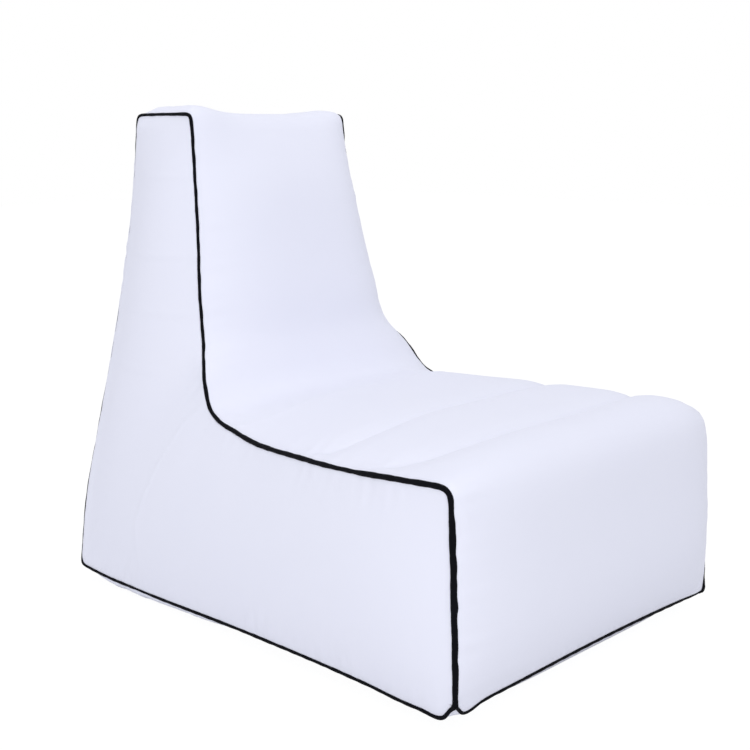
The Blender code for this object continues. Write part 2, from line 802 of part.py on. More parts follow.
def back_web():
    """One upright sheet of film on the centre line, which ties the back's face to its rear."""
    gap = film_thickness + web_clearance
    inner_rows = back_rows[back_web_foot_count:-1]
    outer_rows = rear_rows[-2:back_web_head_count:-1]
    inner = at(air.middle, inner_rows) - at(middle_normals, inner_rows) * gap
    outer = at(air.middle, outer_rows) - at(middle_normals, outer_rows) * gap
    count = min(len(inner), len(outer))
    rows = np.stack((outer[:count], inner[:count]), axis=1)
    points = np.concatenate((np.full(rows.shape[:2] + (1,), -web_thickness / 2), rows), axis=2)
    skin_object("back_web", [points], web_thickness, FILM)


def chamber_port(wall, seat, back):
    """A short tube through both facing walls, which lets one pump fill the two chambers."""
    row, column = len(edge_row_shares) // 2, len(column_shares) // 2
    along = wall[row + 1, column] - wall[row - 1, column]
    across = wall[row, column + 1] - wall[row, column - 1]
    frame = add_empty("port_frame", frame_on(wall[row, column], np.cross(along, across)), origin)
    half = port_length / 2
    for chamber in (seat, back):
        cut(chamber, cylinder_tool("port_hole_" + chamber.name, port_radius + clearance,
                                   -half - cutter_overrun, half + cutter_overrun, frame))
    turned("chamber_port", [(port_radius, half), (port_radius, -half), (port_bore_radius, -half),
                            (port_bore_radius, half)], VALVE, frame)


# Zip

def zip_frame():
    """A frame at the middle of the zip line: X across, Y out of the cover, Z up along the zip."""
    head, foot = (Vector((0, *point)) for point in at(cover.middle, station("rear", (zip_top_share,
                                                                                   zip_foot_share))))
    up = (head - foot).normalized()
    out = Vector((0, up.z, -up.y))
    turn = Matrix((Vector((1, 0, 0)), out, up)).transposed().to_4x4()
    return add_empty("zip_frame", Matrix.Translation((head + foot) / 2) @ turn, origin)


def build_zip(rear_panel):
    """Tapes under the slot's edges, coils on the tapes, stops, slider and pull."""
    frame = zip_frame()
    half = tape_length / 2
    slot = half - slot_end_margin
    cutter = add_object("zip_slot", box_mesh("zip_slot", (-slot_half_width, -cutter_overrun, -slot),
                                             (slot_half_width, cutter_overrun, slot)), parent=frame,
                        collection=cutters)
    cut(rear_panel, guide(cutter))
    tape_face = -cloth_thickness - clearance
    tape_back = tape_face - tape_thickness
    coil_face = tape_face + clearance
    coil_top = coil_face + coil_height
    coil_half = half - coil_end_margin
    for side, word in ((-1, "right"), (1, "left")):
        edges = sorted((side * tape_inner_edge, side * tape_outer_edge))
        add_object("zip_tape_" + word, box_mesh("zip_tape_" + word, (edges[0], tape_back, -half),
                                                (edges[1], tape_face, half)), TAPE, frame)
        edges = sorted((side * coil_inner_edge, side * (coil_inner_edge + coil_width)))
        coil = add_object("zip_coil_" + word, box_mesh("zip_coil_" + word, (edges[0], coil_face, -coil_half),
                                                       (edges[1], coil_top, coil_half)), TAPE, frame)
        soften = coil.modifiers.new("soften", "BEVEL")
        soften.width = coil_width / 4
        soften.segments = 2
    zip_stops(frame, coil_half, coil_face)
    rest = coil_half - slider_length / 2
    slider_frame = add_empty("slider_frame", Matrix.Translation((0, 0, rest)), frame)
    slider(slider_frame, tape_back, tape_face, coil_top)
    return frame


def zip_stops(frame, coil_half, coil_face):
    """Two stops above the coils and one across both tapes below them."""
    low = coil_half + clearance
    for side, word in ((-1, "right"), (1, "left")):
        name = "zip_top_stop_" + word
        edges = sorted((side * tape_inner_edge, side * stop_reach))
        add_object(name, box_mesh(name, (edges[0], coil_face, low),
                                  (edges[1], coil_face + stop_height, low + stop_length)), TAPE, frame)
    add_object("zip_bottom_stop", box_mesh("zip_bottom_stop", (-stop_reach, coil_face, -low - stop_length),
                                           (stop_reach, coil_face + stop_height, -low)), TAPE, frame)


def slider(frame, tape_back, tape_face, coil_top):
    """The slider: a plate over the coils with a lip beside each, a plate behind the tapes, the post that
    parts the tapes at the upper end, and the bail that holds the pull."""
    half = slider_length / 2
    inner = coil_inner_edge + coil_width + clearance
    outer = inner + slider_lip
    face = coil_top + clearance
    top = face + slider_plate
    lip_low = tape_face + clearance
    back = tape_back - clearance
    section = [(outer, lip_low), (outer, top), (-outer, top), (-outer, lip_low), (-inner, lip_low),
               (-inner, face), (inner, face), (inner, lip_low)]
    body = meshed(flat_outline("zip_slider", [section], slider_length, METAL, frame))
    plate = box_mesh("slider_rear_plate", (-outer, back - slider_plate, -half), (outer, back, half))
    rear_plate = add_object("slider_rear_plate", plate, parent=frame, collection=cutters)
    overlap = slider_plate / 2
    stem = box_mesh("slider_post", (-slider_post_width / 2, back - overlap, half - slider_post_length),
                    (slider_post_width / 2, face + overlap, half))
    post = add_object("slider_post", stem, parent=frame, collection=cutters)
    plan = plan_shape(frame, outer, half, back - 2 * slider_plate, top + slider_plate)
    bail, axis_height, axis_along = bail_shape(frame, top)
    for tool, operation in ((rear_plate, "UNION"), (post, "UNION"), (plan, "INTERSECT"), (bail, "UNION")):
        combine(body, guide(tool), operation)
    pull_tab(frame, axis_height, axis_along)


def plan_shape(frame, outer, half, low, high):
    """Front view of the slider, with round shoulders and a narrower foot, as a tool."""
    foot = outer * slider_foot_share
    waist = half * slider_foot_share / 2
    outline = [(-foot, -half), (foot, -half), (foot, -waist), (outer, waist), (outer, half - slider_rounding),
               (outer - slider_rounding, half), (-outer + slider_rounding, half),
               (-outer, half - slider_rounding), (-outer, waist), (-foot, -waist)]
    shape = flat_outline("slider_plan", [outline], high - low, None, frame, cutters)
    shape.matrix_local = Matrix.Translation((0, (low + high) / 2, 0)) @ Matrix.Rotation(math.pi / 2, 4, "X")
    return meshed(shape, cutters)


def bail_shape(frame, top):
    """The bail: a bridge on the slider's plate, seen from the side, with a window for the pull's bar."""
    sunk = slider_plate / 2
    half = bail_window_length / 2
    outer = half + bail_bar
    height = bail_window_height + bail_bar
    corner = bail_bar / 2
    outline = [(-outer, -sunk), (-half, -sunk), (-half, bail_window_height), (half, bail_window_height),
               (half, -sunk), (outer, -sunk), (outer, height - corner), (outer - corner, height),
               (corner - outer, height), (-outer, height - corner)]
    shape = flat_outline("slider_bail", [outline], bail_width, None, frame, cutters)
    shape.matrix_local = Matrix(((0, 0, -1, 0), (0, 1, 0, top), (1, 0, 0, 0), (0, 0, 0, 1)))
    rest = pull_bar / 2 + pull_side_clearance
    return meshed(shape, cutters), top + bail_window_height / 2, rest - half


def pull_tab(frame, axis_height, axis_along):
    """The pull, which hangs from its bar in the bail; its origin is on the bar's axis."""
    axis = add_empty("pull_frame", Matrix.Translation((0, axis_height, axis_along)) @
                     Matrix.Rotation(math.pi / 2, 4, "X"), frame)
    hole_half = bail_width / 2 + pull_side_clearance
    neck_half = hole_half + pull_arm
    bar = pull_bar / 2
    shoulder = -bar - pull_hole_length - pull_arm
    outline = [(-neck_half, bar), (-neck_half, shoulder), (-pull_width / 2, shoulder - pull_rounding)]
    foot = -pull_length
    outline += [(-pull_width / 2, foot + pull_rounding), (-pull_width / 2 + pull_rounding, foot),
                (pull_width / 2 - pull_rounding, foot), (pull_width / 2, foot + pull_rounding),
                (pull_width / 2, shoulder - pull_rounding), (neck_half, shoulder), (neck_half, bar)]
    hole = rounded_outline((-hole_half, -bar - pull_hole_length), (hole_half, -bar), pull_hole_rounding)
    flat_outline("zip_pull", [outline, hole], pull_bar, METAL, axis)


# Valve

def cell_frame(points, row, column):
    """Middle and normal of one facet pair of a grid."""
    cell = points[row:row + 2, column:column + 2].reshape(4, 3)
    normal = np.cross(cell[1] - cell[2], cell[3] - cell[0])
    normal *= np.sign(normal[1])
    return cell.mean(axis=0), normal / np.linalg.norm(normal), cell


def build_valve(rear_points, film_points, rear_panel, chamber):
    """The air valve, low in the rear beside the zip, square to the cloth there."""
    centre, normal, cell = cell_frame(rear_points, valve_row_count, valve_column_count)
    film_cell = cell_frame(film_points, valve_row_count, valve_column_count)[2]
    frame = add_empty("valve_frame", frame_on(centre, normal), origin)
    cloth_top = float(((cell - centre) @ normal).max())
    film_low = float(((film_cell - centre) @ normal).min()) - film_thickness
    neck_top = cloth_top + neck_stand
    flange_top = film_low - clearance
    flange_foot = flange_top - base_flange_height
    cut(chamber, cylinder_tool("valve_hole_film", neck_radius + clearance, flange_top - cutter_overrun,
                               flange_top + cutter_overrun, frame))
    eyelet_bore = neck_radius + clearance
    eyelet_neck = eyelet_bore + eyelet_wall
    cut(rear_panel, cylinder_tool("valve_hole_cloth", eyelet_neck + clearance, -cutter_overrun / 2,
                                  cutter_overrun, frame))
    turned("valve_base", [(neck_bore_radius, neck_top), (neck_radius, neck_top), (neck_radius, flange_top),
                          (base_flange_radius, flange_top), (base_flange_radius, flange_foot),
                          (neck_bore_radius, flange_foot)], VALVE, frame)
    eyelet_low = cloth_top + clearance
    turned("valve_eyelet", [(eyelet_bore, eyelet_low + eyelet_flange_height),
                            (eyelet_flange_radius, eyelet_low + eyelet_flange_height),
                            (eyelet_flange_radius, eyelet_low), (eyelet_neck, eyelet_low),
                            (eyelet_neck, -cloth_thickness), (eyelet_bore, -cloth_thickness)], VALVE, frame)
    rim_low = neck_top + seal_height + 2 * clearance
    rim_top = rim_low + insert_rim_height
    collar_top = rim_top + collar_height
    body_radius = neck_bore_radius - clearance
    insert_foot = neck_top - insert_depth
    seal(frame, "insert_seal", body_radius + clearance, neck_radius, neck_top + clearance, seal_height)
    insert = turned("valve_insert", [
        (insert_bore_radius, collar_top), (collar_radius, collar_top), (collar_radius, rim_top),
        (insert_rim_radius, rim_top), (insert_rim_radius, rim_low), (body_radius, rim_low),
        (body_radius, insert_foot), (flap_hole_radius, insert_foot),
        (flap_hole_radius, insert_foot + insert_floor), (insert_bore_radius, insert_foot + insert_floor)],
        VALVE, frame)
    for number in range(vent_count):
        angle = math.tau * number / vent_count
        hole = cylinder_tool(f"vent_{number}", vent_radius, insert_foot - cutter_overrun,
                             insert_foot + insert_floor + clearance, frame, segments=12)
        hole.location = (vent_circle_radius * math.cos(angle), vent_circle_radius * math.sin(angle), 0)
        cut(insert, hole)
    flap(frame, insert_foot)
    cap(frame, rim_top, collar_top)


def seal(frame, name, bore, radius, low, height):
    """A flat sealing ring."""
    turned(name, [(bore, low + height), (radius, low + height), (radius, low), (bore, low)], SEAL, frame)


def flap(frame, insert_foot):
    """The rubber flap under the insert's vents, held by a knobbed stem."""
    top = insert_foot - clearance
    stem_top = insert_foot + insert_floor + clearance
    turned("valve_flap", [(0, stem_top + flap_knob_height), (flap_knob_radius, stem_top),
                          (flap_stem_radius, stem_top), (flap_stem_radius, top), (flap_radius, top),
                          (flap_radius, top - flap_thickness), (0, top - flap_thickness)], SEAL, frame)


def cap(frame, rim_top, collar_top):
    """The cap over the insert's collar, with grip ribs round its wall, and the seal inside it."""
    seal_low = collar_top + clearance
    roof = seal_low + cap_seal_height + clearance
    top = roof + cap_top
    low = rim_top + clearance
    bore = collar_radius + clearance
    made = turned("valve_cap", [
        (0, top), (cap_radius - cap_rib_depth, top), (cap_radius, top - cap_rib_depth), (cap_radius, low),
        (bore, low), (bore, roof), (0, roof)], VALVE, frame)
    rib_low, rib_high = low + cap_rib_depth, top - 2 * cap_rib_depth
    for number in range(cap_rib_count):
        name = f"cap_rib_{number}"
        block = box_mesh(name, (cap_radius - cap_wall / 2, -cap_rib_width / 2, rib_low),
                         (cap_radius + cap_rib_depth, cap_rib_width / 2, rib_high))
        rib = add_object(name, block, parent=frame, collection=cutters)
        rib.rotation_euler.z = math.tau * number / cap_rib_count
        combine(made, guide(rib), "UNION")
    seal(frame, "cap_seal", insert_bore_radius, bore - clearance, seal_low, cap_seal_height)


def depths_of(made):
    """World y of every vertex of a finished object."""
    evaluated = made.evaluated_get(bpy.context.evaluated_depsgraph_get())
    return [(evaluated.matrix_world @ vert.co).y for vert in evaluated.to_mesh().vertices]


def centre_on_origin():
    """Moves the whole sofa so that the origin is below the middle of its box."""
    bpy.context.view_layer.update()
    depths = [depth for made in sofa.objects if made.type != "EMPTY" for depth in depths_of(made)]
    origin.location.y = -(min(depths) + max(depths)) / 2
    bpy.context.view_layer.update()


def build():
    """Makes every piece and prints the places that joints and mounts use."""
    cover_panel("cover_centre", joined(front_rows, seat_rows, back_rows, top_rows), piping_inset,
                cross_seam_inset)
    rear_panel = cover_panel("cover_rear", rear_rows, cross_seam_inset, piping_inset)
    cover_panel("cover_bottom", joined(heel_rows[::-1], floor_rows[::-1]), piping_inset, piping_inset)
    side_panels()
    piping()
    air_side = air.side(side_columns())
    seat, seat_upper, seat_under, wall = seat_chamber(air_side)
    back = back_chamber(air_side)
    seat_webs(seat_upper, seat_under)
    back_web()
    chamber_port(wall, seat, back)
    build_zip(rear_panel)
    build_valve(cover.across(rear_rows[::-1], seam_loop=panel_edge), air.across(rear_rows[::-1]),
                rear_panel, back)
    centre_on_origin()
    for name in ("zip_frame", "slider_frame", "pull_frame", "valve_frame"):
        place = bpy.data.objects[name].matrix_world
        print(name, [round(v, 5) for v in place.translation], "x", [round(v, 5) for v in place.col[0][:3]],
              "y", [round(v, 5) for v in place.col[1][:3]], "z", [round(v, 5) for v in place.col[2][:3]])


build()
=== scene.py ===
# %% [markdown]
# # An inflatable lounge sofa
#
# The real thing is two welded air chambers inside a sewn cloth cover. Black piping follows the two
# side seams, and the rest of the cover is one plain strip, a rear panel with the zip and the valve, and
# a floor panel. This lesson builds the cover as surfaces worked out with numpy, because every panel is
# a smooth function of two numbers: how far along the side outline, and how far across the width.

# %% Load the frame
import json
import math

import bmesh
import bpy
import numpy as np
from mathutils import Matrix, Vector


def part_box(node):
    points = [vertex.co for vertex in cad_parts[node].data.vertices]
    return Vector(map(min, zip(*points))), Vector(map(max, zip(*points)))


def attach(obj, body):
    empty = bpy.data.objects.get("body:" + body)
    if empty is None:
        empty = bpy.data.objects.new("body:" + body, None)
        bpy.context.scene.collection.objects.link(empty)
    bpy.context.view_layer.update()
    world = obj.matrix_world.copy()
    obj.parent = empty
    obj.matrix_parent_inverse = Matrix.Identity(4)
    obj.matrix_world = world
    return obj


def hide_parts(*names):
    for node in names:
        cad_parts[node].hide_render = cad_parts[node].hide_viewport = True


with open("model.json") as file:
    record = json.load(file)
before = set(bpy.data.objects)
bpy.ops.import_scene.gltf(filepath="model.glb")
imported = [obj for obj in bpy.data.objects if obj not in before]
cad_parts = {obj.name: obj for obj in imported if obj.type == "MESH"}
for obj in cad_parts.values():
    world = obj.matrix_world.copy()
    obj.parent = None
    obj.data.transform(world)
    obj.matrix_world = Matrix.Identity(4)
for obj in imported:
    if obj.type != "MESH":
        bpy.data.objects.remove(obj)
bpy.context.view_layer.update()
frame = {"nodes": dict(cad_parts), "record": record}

nodes = frame["nodes"]
joints = {joint["name"]: joint for joint in frame["record"]["behaviour"]["joints"]}

# %% [markdown]
# ## Camera
#
# The photograph is a three-quarter view from a little above the backrest. The lens and the place were
# found by fitting the corners of the front and side panels, so the numbers below are the camera's real
# place in widths of the front panel, measured from the foot of the front.

# %% Set the camera
front_edge_low, front_edge_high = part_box("piping_front_edge")
front_y = (front_edge_low.y + front_edge_high.y) / 2
seam_width = 0.750
camera_widths = Vector((-2.390, -1.565, 1.194))
camera_foot_height = 0.037
camera_azimuth = math.radians(-46.44)
camera_elevation = math.radians(11.04)
camera_sensor = 36.0
focal_pixels = 1272.0
image_pixels = 750.0

camera_data = bpy.data.cameras.new("camera")
camera_data.sensor_width = camera_sensor
camera_data.lens = focal_pixels / image_pixels * camera_sensor
camera = bpy.data.objects.new("camera", camera_data)
camera.location = camera_widths * seam_width + Vector((0, front_y, camera_foot_height))
backwards = Vector((math.sin(camera_azimuth) * math.cos(camera_elevation),
                    -math.cos(camera_azimuth) * math.cos(camera_elevation), math.sin(camera_elevation)))
camera.rotation_mode = "QUATERNION"
camera.rotation_quaternion = backwards.to_track_quat("Z", "Y")
bpy.context.scene.collection.objects.link(camera)
bpy.context.scene.camera = camera
print("camera at", [round(v, 3) for v in camera.location], "lens", round(camera_data.lens, 1))

# %% [markdown]
# ## The side outline
#
# Everything hangs on one closed loop: the line of a side seam, seen from the side, with the half width
# that the sofa has there. A cushion maker would call it the pattern's edge. It is written as a few
# chosen points in shares of the depth, the height and the half width, joined by smooth curves, and
# its corners are rounded by a running mean.

# %% Outline values
seam_depth = 1.025
seam_height = 0.927
low_seam = 0.030
rear_seam_rise = 0.005
bottom_rise_share = 0.45
seam_rounding = 0.010
corner_rounding = 0.014
corner_round_reach = 0.045
outline_steps = 40
loop_count = 1800

outlines = {
    "front": ((0.0, 0.0, 1.0), (0.020, 0.397, 1.0)),
    "seat_back": (
        (0.020, 0.397, 1.000), (0.138, 0.388, 1.000), (0.247, 0.376, 0.972), (0.370, 0.368, 0.924),
        (0.556, 0.371, 0.850), (0.660, 0.405, 0.812), (0.694, 0.460, 0.768), (0.733, 0.517, 0.682),
        (0.757, 0.617, 0.643), (0.786, 0.781, 0.585), (0.807, 0.930, 0.555), (0.812, 1.000, 0.553)),
    "top": ((0.812, 1.000, 0.553), (0.980, 0.999, 0.553)),
    "rear": (
        (0.980, 0.999, 0.553), (0.970, 0.836, 0.610), (0.977, 0.570, 0.724), (0.996, 0.301, 0.860),
        (1.003, 0.163, 0.934), (1.000, 0.0, 1.000)),
    "bottom": (
        (1.000, 0.0, 1.000), (0.930, -0.006, 1.000), (0.800, -0.008, 1.000), (0.500, -0.004, 1.000),
        (0.200, -0.005, 1.000), (0.080, -0.009, 1.000), (0.0, 0.0, 1.000))}


# %% Curves
def smooth_step(share):
    """Rises from 0 to 1 with level ends, as 3x^2 - 2x^3."""
    share = np.clip(share, 0.0, 1.0)
    return share * share * (3 - 2 * share)


def outline_points(rows):
    """Half width, depth and height of outline rows; the floor line rises a little towards the rear."""
    depth, height, width = np.array(rows).T
    rise = rear_seam_rise * smooth_step(depth / bottom_rise_share) * (1 - height)
    return np.stack((width * seam_width / 2, depth * seam_depth,
                     low_seam + height * seam_height + rise), axis=1)


def through(points):
    """Cubic Hermite spans through the points, each with the slopes of its neighbouring chords."""
    chords = np.linalg.norm(np.diff(points, axis=0), axis=1)
    slopes = np.gradient(points, np.concatenate(([0.0], np.cumsum(chords))), axis=0)
    u = np.linspace(0, 1, outline_steps, endpoint=False)[None, :, None]
    start, end = points[:-1, None], points[1:, None]
    leave, arrive = chords[:, None, None] * slopes[:-1, None], chords[:, None, None] * slopes[1:, None]
    spans = ((2 * u ** 3 - 3 * u ** 2 + 1) * start + (u ** 3 - 2 * u ** 2 + u) * leave
             + (3 * u ** 2 - 2 * u ** 3) * end + (u ** 3 - u ** 2) * arrive)
    return np.vstack((spans.reshape(-1, points.shape[1]), points[-1:]))


def arc_lengths(curve):
    """Distance along a curve at each of its points."""
    return np.concatenate(([0.0], np.cumsum(np.linalg.norm(np.diff(curve, axis=0), axis=1))))


def by_column(curve, work):
    """Does the same work on each column of a curve."""
    return np.stack([work(column) for column in curve.T], axis=-1)


def resampled(curve, places):
    """The curve's points at the given distances along it."""
    along = arc_lengths(curve)
    return by_column(curve, lambda column: np.interp(places, along, column))


def blurred(curve, reach, step, closed=True):
    """Running mean along a curve, which rounds its corners. An open curve keeps its two ends."""
    half = max(1, int(3 * reach / step))
    weights = np.exp(-0.5 * (np.arange(-half, half + 1) * step / reach) ** 2)
    before, after = curve[-half:], curve[:half]
    if not closed:
        before, after = 2 * curve[0] - curve[half:0:-1], 2 * curve[-1] - curve[-2:-half - 2:-1]
    padded = np.concatenate((before, curve, after))
    return by_column(padded, lambda column: np.convolve(column, weights / weights.sum(), "valid"))


def run_of(curve, closed):
    """Direction of a curve at each point, from the point before it to the point after it."""
    return np.roll(curve, -1, axis=0) - np.roll(curve, 1, axis=0) if closed else np.gradient(curve, axis=0)


def unit(vectors):
    """The vectors at length 1."""
    return vectors / np.linalg.norm(vectors, axis=-1)[..., None]


# %% The seam loop
curves = {name: through(outline_points(rows)) for name, rows in outlines.items()}
lengths = {name: arc_lengths(curve)[-1] for name, curve in curves.items()}
loop_step = sum(lengths.values()) / loop_count
counts = {name: round(length / loop_step) for name, length in lengths.items()}
starts = dict(zip(counts, np.concatenate(([0], np.cumsum(list(counts.values())[:-1]))).tolist()))
loop_total = sum(counts.values())
seam = blurred(np.vstack([resampled(curve, np.linspace(0, lengths[name], counts[name], endpoint=False))
                          for name, curve in curves.items()]), seam_rounding, loop_step)
corner_away = (np.arange(loop_total) - starts["seat_back"]) * loop_step
corner_part = np.exp(-(corner_away / corner_round_reach) ** 2)[:, None]
seam += (blurred(seam, corner_rounding, loop_step) - seam) * corner_part
seam[:, 1] += front_y - seam[0, 1]


def station(stretch, share):
    """Place on the loop, in steps from the foot of the front."""
    return starts[stretch] + np.asarray(share) * counts[stretch]


def at(curve, stations):
    """Points of a closed curve at the given stations."""
    places, closed = np.arange(loop_total + 1), np.vstack((curve, curve[:1]))
    return by_column(closed, lambda column: np.interp(np.asarray(stations) % loop_total, places, column))


def sizes_along(rows):
    """A size at every step of the loop, straight between (stretch, share, size) rows."""
    places = [station(stretch, share) for stretch, share, _ in rows]
    return np.interp(np.arange(loop_total), places, [size for _, _, size in rows])


def outward(curve, closed=True):
    """Unit normals of a (y, z) curve that runs up the front and back along the top."""
    run = run_of(curve, closed)
    return unit(np.stack((-run[:, 1], run[:, 0]), axis=1))


print("seam loop:", loop_total, "steps,", round(loop_step * loop_total, 3), "m round")

# %% [markdown]
# ## The middle section
#
# Air pushes each panel out between its seams, most at half the width. The middle loop is that swollen
# section: the seam loop pushed out along its normals by a crown that changes along the way. A panel's
# height then falls off towards the seams as (1 - |t|^n)^m: a large n gives a flat middle, and an m
# below 1 squares the shoulders, so that the cloth swells past the seam behind it.

# %% Crown values
front_crown = 0.036
front_tube_crown = 0.050
seat_crown = 0.062
crease_crown = 0.012
back_crown = 0.050
top_edge_crown = 0.010
top_hump = 0.014
top_sag = 0.006
rear_crown = 0.040
rear_foot_crown = 0.024
belly = 0.058
panel_rounding = 0.028
crown_rounding = 0.040
crease_share = 0.533
split_floor_share = 0.173
hump_lean = 0.35
zip_top_share = 0.14
zip_foot_share = 0.86
ease_share = 0.10


# %% The middle loop
def eased(count):
    """Rises from 0 at the first point, stays 1 along the middle and falls to 0 at the last."""
    share = np.linspace(0, 1, count)
    return smooth_step(share / ease_share) * smooth_step((1 - share) / ease_share)


def middle_loop():
    """The swollen section at half the width, as (y, z) points, one for each step of the seam loop."""
    rear, bottom = starts["rear"], starts["bottom"]
    closed = np.vstack((seam, seam[:1]))[:, 1:]
    crown = sizes_along((
        ("front", 0.0, 0.0), ("front", 0.30, front_crown), ("front", 0.85, front_crown),
        ("seat_back", 0.0, front_crown), ("seat_back", 0.12, front_tube_crown),
        ("seat_back", 0.22, seat_crown), ("seat_back", 0.42, seat_crown),
        ("seat_back", crease_share, crease_crown), ("seat_back", 0.68, back_crown),
        ("seat_back", 0.90, back_crown), ("top", 0.0, top_edge_crown), ("top", 0.40, -top_sag),
        ("top", 1.0, -top_sag)))
    upper = blurred(closed[:rear + 1], panel_rounding, loop_step, closed=False)
    swell = blurred(crown[:rear + 1, None], crown_rounding, loop_step, closed=False)[:, 0]
    upper = upper + swell[:, None] * outward(upper, closed=False)

    back = closed[rear:bottom + 1]
    head, foot = at(seam, station("rear", (zip_top_share, zip_foot_share)))[:, 1:]
    head[0] += rear_crown
    foot[0] += rear_foot_crown
    line = foot[0] + (back[:, 1] - foot[1]) * (head[0] - foot[0]) / (head[1] - foot[1])
    ease = eased(len(back))
    back = np.stack((back[:, 0] * (1 - ease) + line * ease, back[:, 1]), axis=1)

    under = closed[bottom:].copy()
    under[:, 1] -= belly * eased(len(under))
    return np.vstack((upper[:-1], back[:-1], under[:-1]))


middle = middle_loop()
middle_normals = outward(blurred(middle, seam_rounding, loop_step))
humps = sizes_along((("seat_back", 0.92, 0.0), ("top", 0.25, top_hump), ("top", 0.75, top_hump),
                     ("top", 1.0, 0.0)))
fullness = sizes_along((("front", 0.0, 9.0), ("front", 0.8, 9.0), ("seat_back", 0.1, 6.0),
                        ("top", 1.0, 6.0), ("rear", 0.1, 6.0), ("bottom", 0.0, 8.0)))
shoulder = sizes_along((
    ("front", 0.0, 1.3), ("front", 0.12, 0.62), ("seat_back", 0.0, 0.62), ("seat_back", 0.08, 0.9),
    ("seat_back", 0.50, 1.0), ("seat_back", 0.60, 0.7), ("seat_back", 0.92, 0.7), ("top", 0.0, 1.0),
    ("top", 1.0, 1.0), ("rear", 0.1, 0.6), ("rear", 0.9, 0.6), ("bottom", 0.0, 0.5),
    ("bottom", 0.4, 0.7), ("bottom", 0.6, 1.3), ("bottom", 0.97, 1.3)))
print("middle section:", [round(v, 3) for v in middle.min(axis=0)], "to",
      [round(v, 3) for v in middle.max(axis=0)])

# %% [markdown]
# ## Rulings
#
# An L-shaped side panel needs its own grid. Its lines run from the floor and rear seam to the seat and
# back seam, like the slats of a fan, and turn where the seat chamber meets the back chamber. The
# table gives the shares of both seams at which each slat ends. The panels that span the width take
# their rows from the same slats, so all panels meet at the same points.

# %% Slats
seat_row_shares = (0.0, 0.025, 0.09, 0.18, 0.265, 0.31, 0.355, 0.43, 0.499, 0.544, 0.589, 0.66, 0.75,
                   0.85, 0.93, 1.0)
back_row_shares = (0.0, 0.045, 0.09, 0.14, 0.21, 0.29, 0.38, 0.47, 0.57, 0.67, 0.77, 0.88, 0.975, 1.0)
heel_row_shares = (0.0, 0.45, 0.88, 1.0)
rear_row_shares = (1.0, 0.98, 0.88, 0.77, 0.65, 0.53, 0.41, 0.29, 0.15, 0.02, 0.0)
slat_fineness = 8
split_slat = len(seat_row_shares) - 1
heel_slat = split_slat + len(heel_row_shares) - 1
slat_total = split_slat + len(back_row_shares) - 1


def slats(numbers):
    """Stations at which slats end, on the floor and rear side and on the seat and back side."""
    inner = np.concatenate((station("seat_back", np.array(seat_row_shares) * crease_share)[:-1],
                            station("seat_back", crease_share + np.array(back_row_shares)
                                    * (1 - crease_share))))
    outer = np.concatenate((
        station("bottom", 1 - np.array(seat_row_shares) * (1 - split_floor_share)),
        station("bottom", split_floor_share * (1 - np.array(heel_row_shares)))[1:],
        station("rear", np.array(rear_row_shares))[1:]))
    smooth = through(np.column_stack((np.arange(slat_total + 1), outer, inner)))
    return np.interp(numbers, smooth[:, 0], smooth[:, 1]), np.interp(numbers, smooth[:, 0], smooth[:, 2])


slat_numbers = np.linspace(0, slat_total, slat_total * slat_fineness + 1)
outer_stations, inner_stations = slats(slat_numbers)
seat_fineness = 14
cloth_stations = slats(np.concatenate((np.linspace(0, split_slat, split_slat * seat_fineness + 1),
                                       slat_numbers[slat_numbers > split_slat])))[1]
side_numbers = np.linspace(0, slat_total, 2 * slat_total * slat_fineness + 1)
height_shares = np.linspace(0, 1, 61)
print("slats:", len(slat_numbers), "by", len(height_shares))

# %% [markdown]
# ## Two kinds of panel
#
# A skin is the cover or an air chamber: the seam loop and the middle loop, drawn in a little for a
# chamber. It gives points of a panel that spans the width, and of a side panel. The side panel starts as
# a ruled surface between its two seams. It is then blown up: its points move sideways as those of a
# stretched film do under an even push of air.

# %% Panel surfaces
side_seat_crown = 0.030
side_back_crown = 0.024
side_rounds = 900
near_fullness = 0.5
edge_fade = 6.0


def blown_up(points, push, rounds):
    """x of a film stretched between a grid's edges with a push on it, div grad x = -push: many times
    over, each point's x is the mean of its four neighbours', weighted by the cells' sides, plus a share of
    the push."""
    x, plane = points[..., 0].copy(), points[..., 1:]
    along = np.linalg.norm(np.diff(plane, axis=0), axis=2)[:, 1:-1]
    across = np.linalg.norm(np.diff(plane, axis=1), axis=2)[1:-1]
    tall, wide = (along[:-1] + along[1:]) / 2, (across[:, :-1] + across[:, 1:]) / 2
    weights = (wide / along[:-1], wide / along[1:], tall / across[:, :-1], tall / across[:, 1:])
    total, gain = sum(weights), push * tall * wide
    for _ in range(rounds):
        x[1:-1, 1:-1] = (weights[0] * x[:-2, 1:-1] + weights[1] * x[2:, 1:-1] + weights[2] * x[1:-1, :-2]
                         + weights[3] * x[1:-1, 2:] + gain) / total
    return x


def surface_normals(points):
    """Unit normals of a grid: the cross product of its two directions."""
    normal = np.cross(np.gradient(points, axis=1), np.gradient(points, axis=0))
    return normal / np.maximum(np.linalg.norm(normal, axis=2), 1e-12)[..., None]


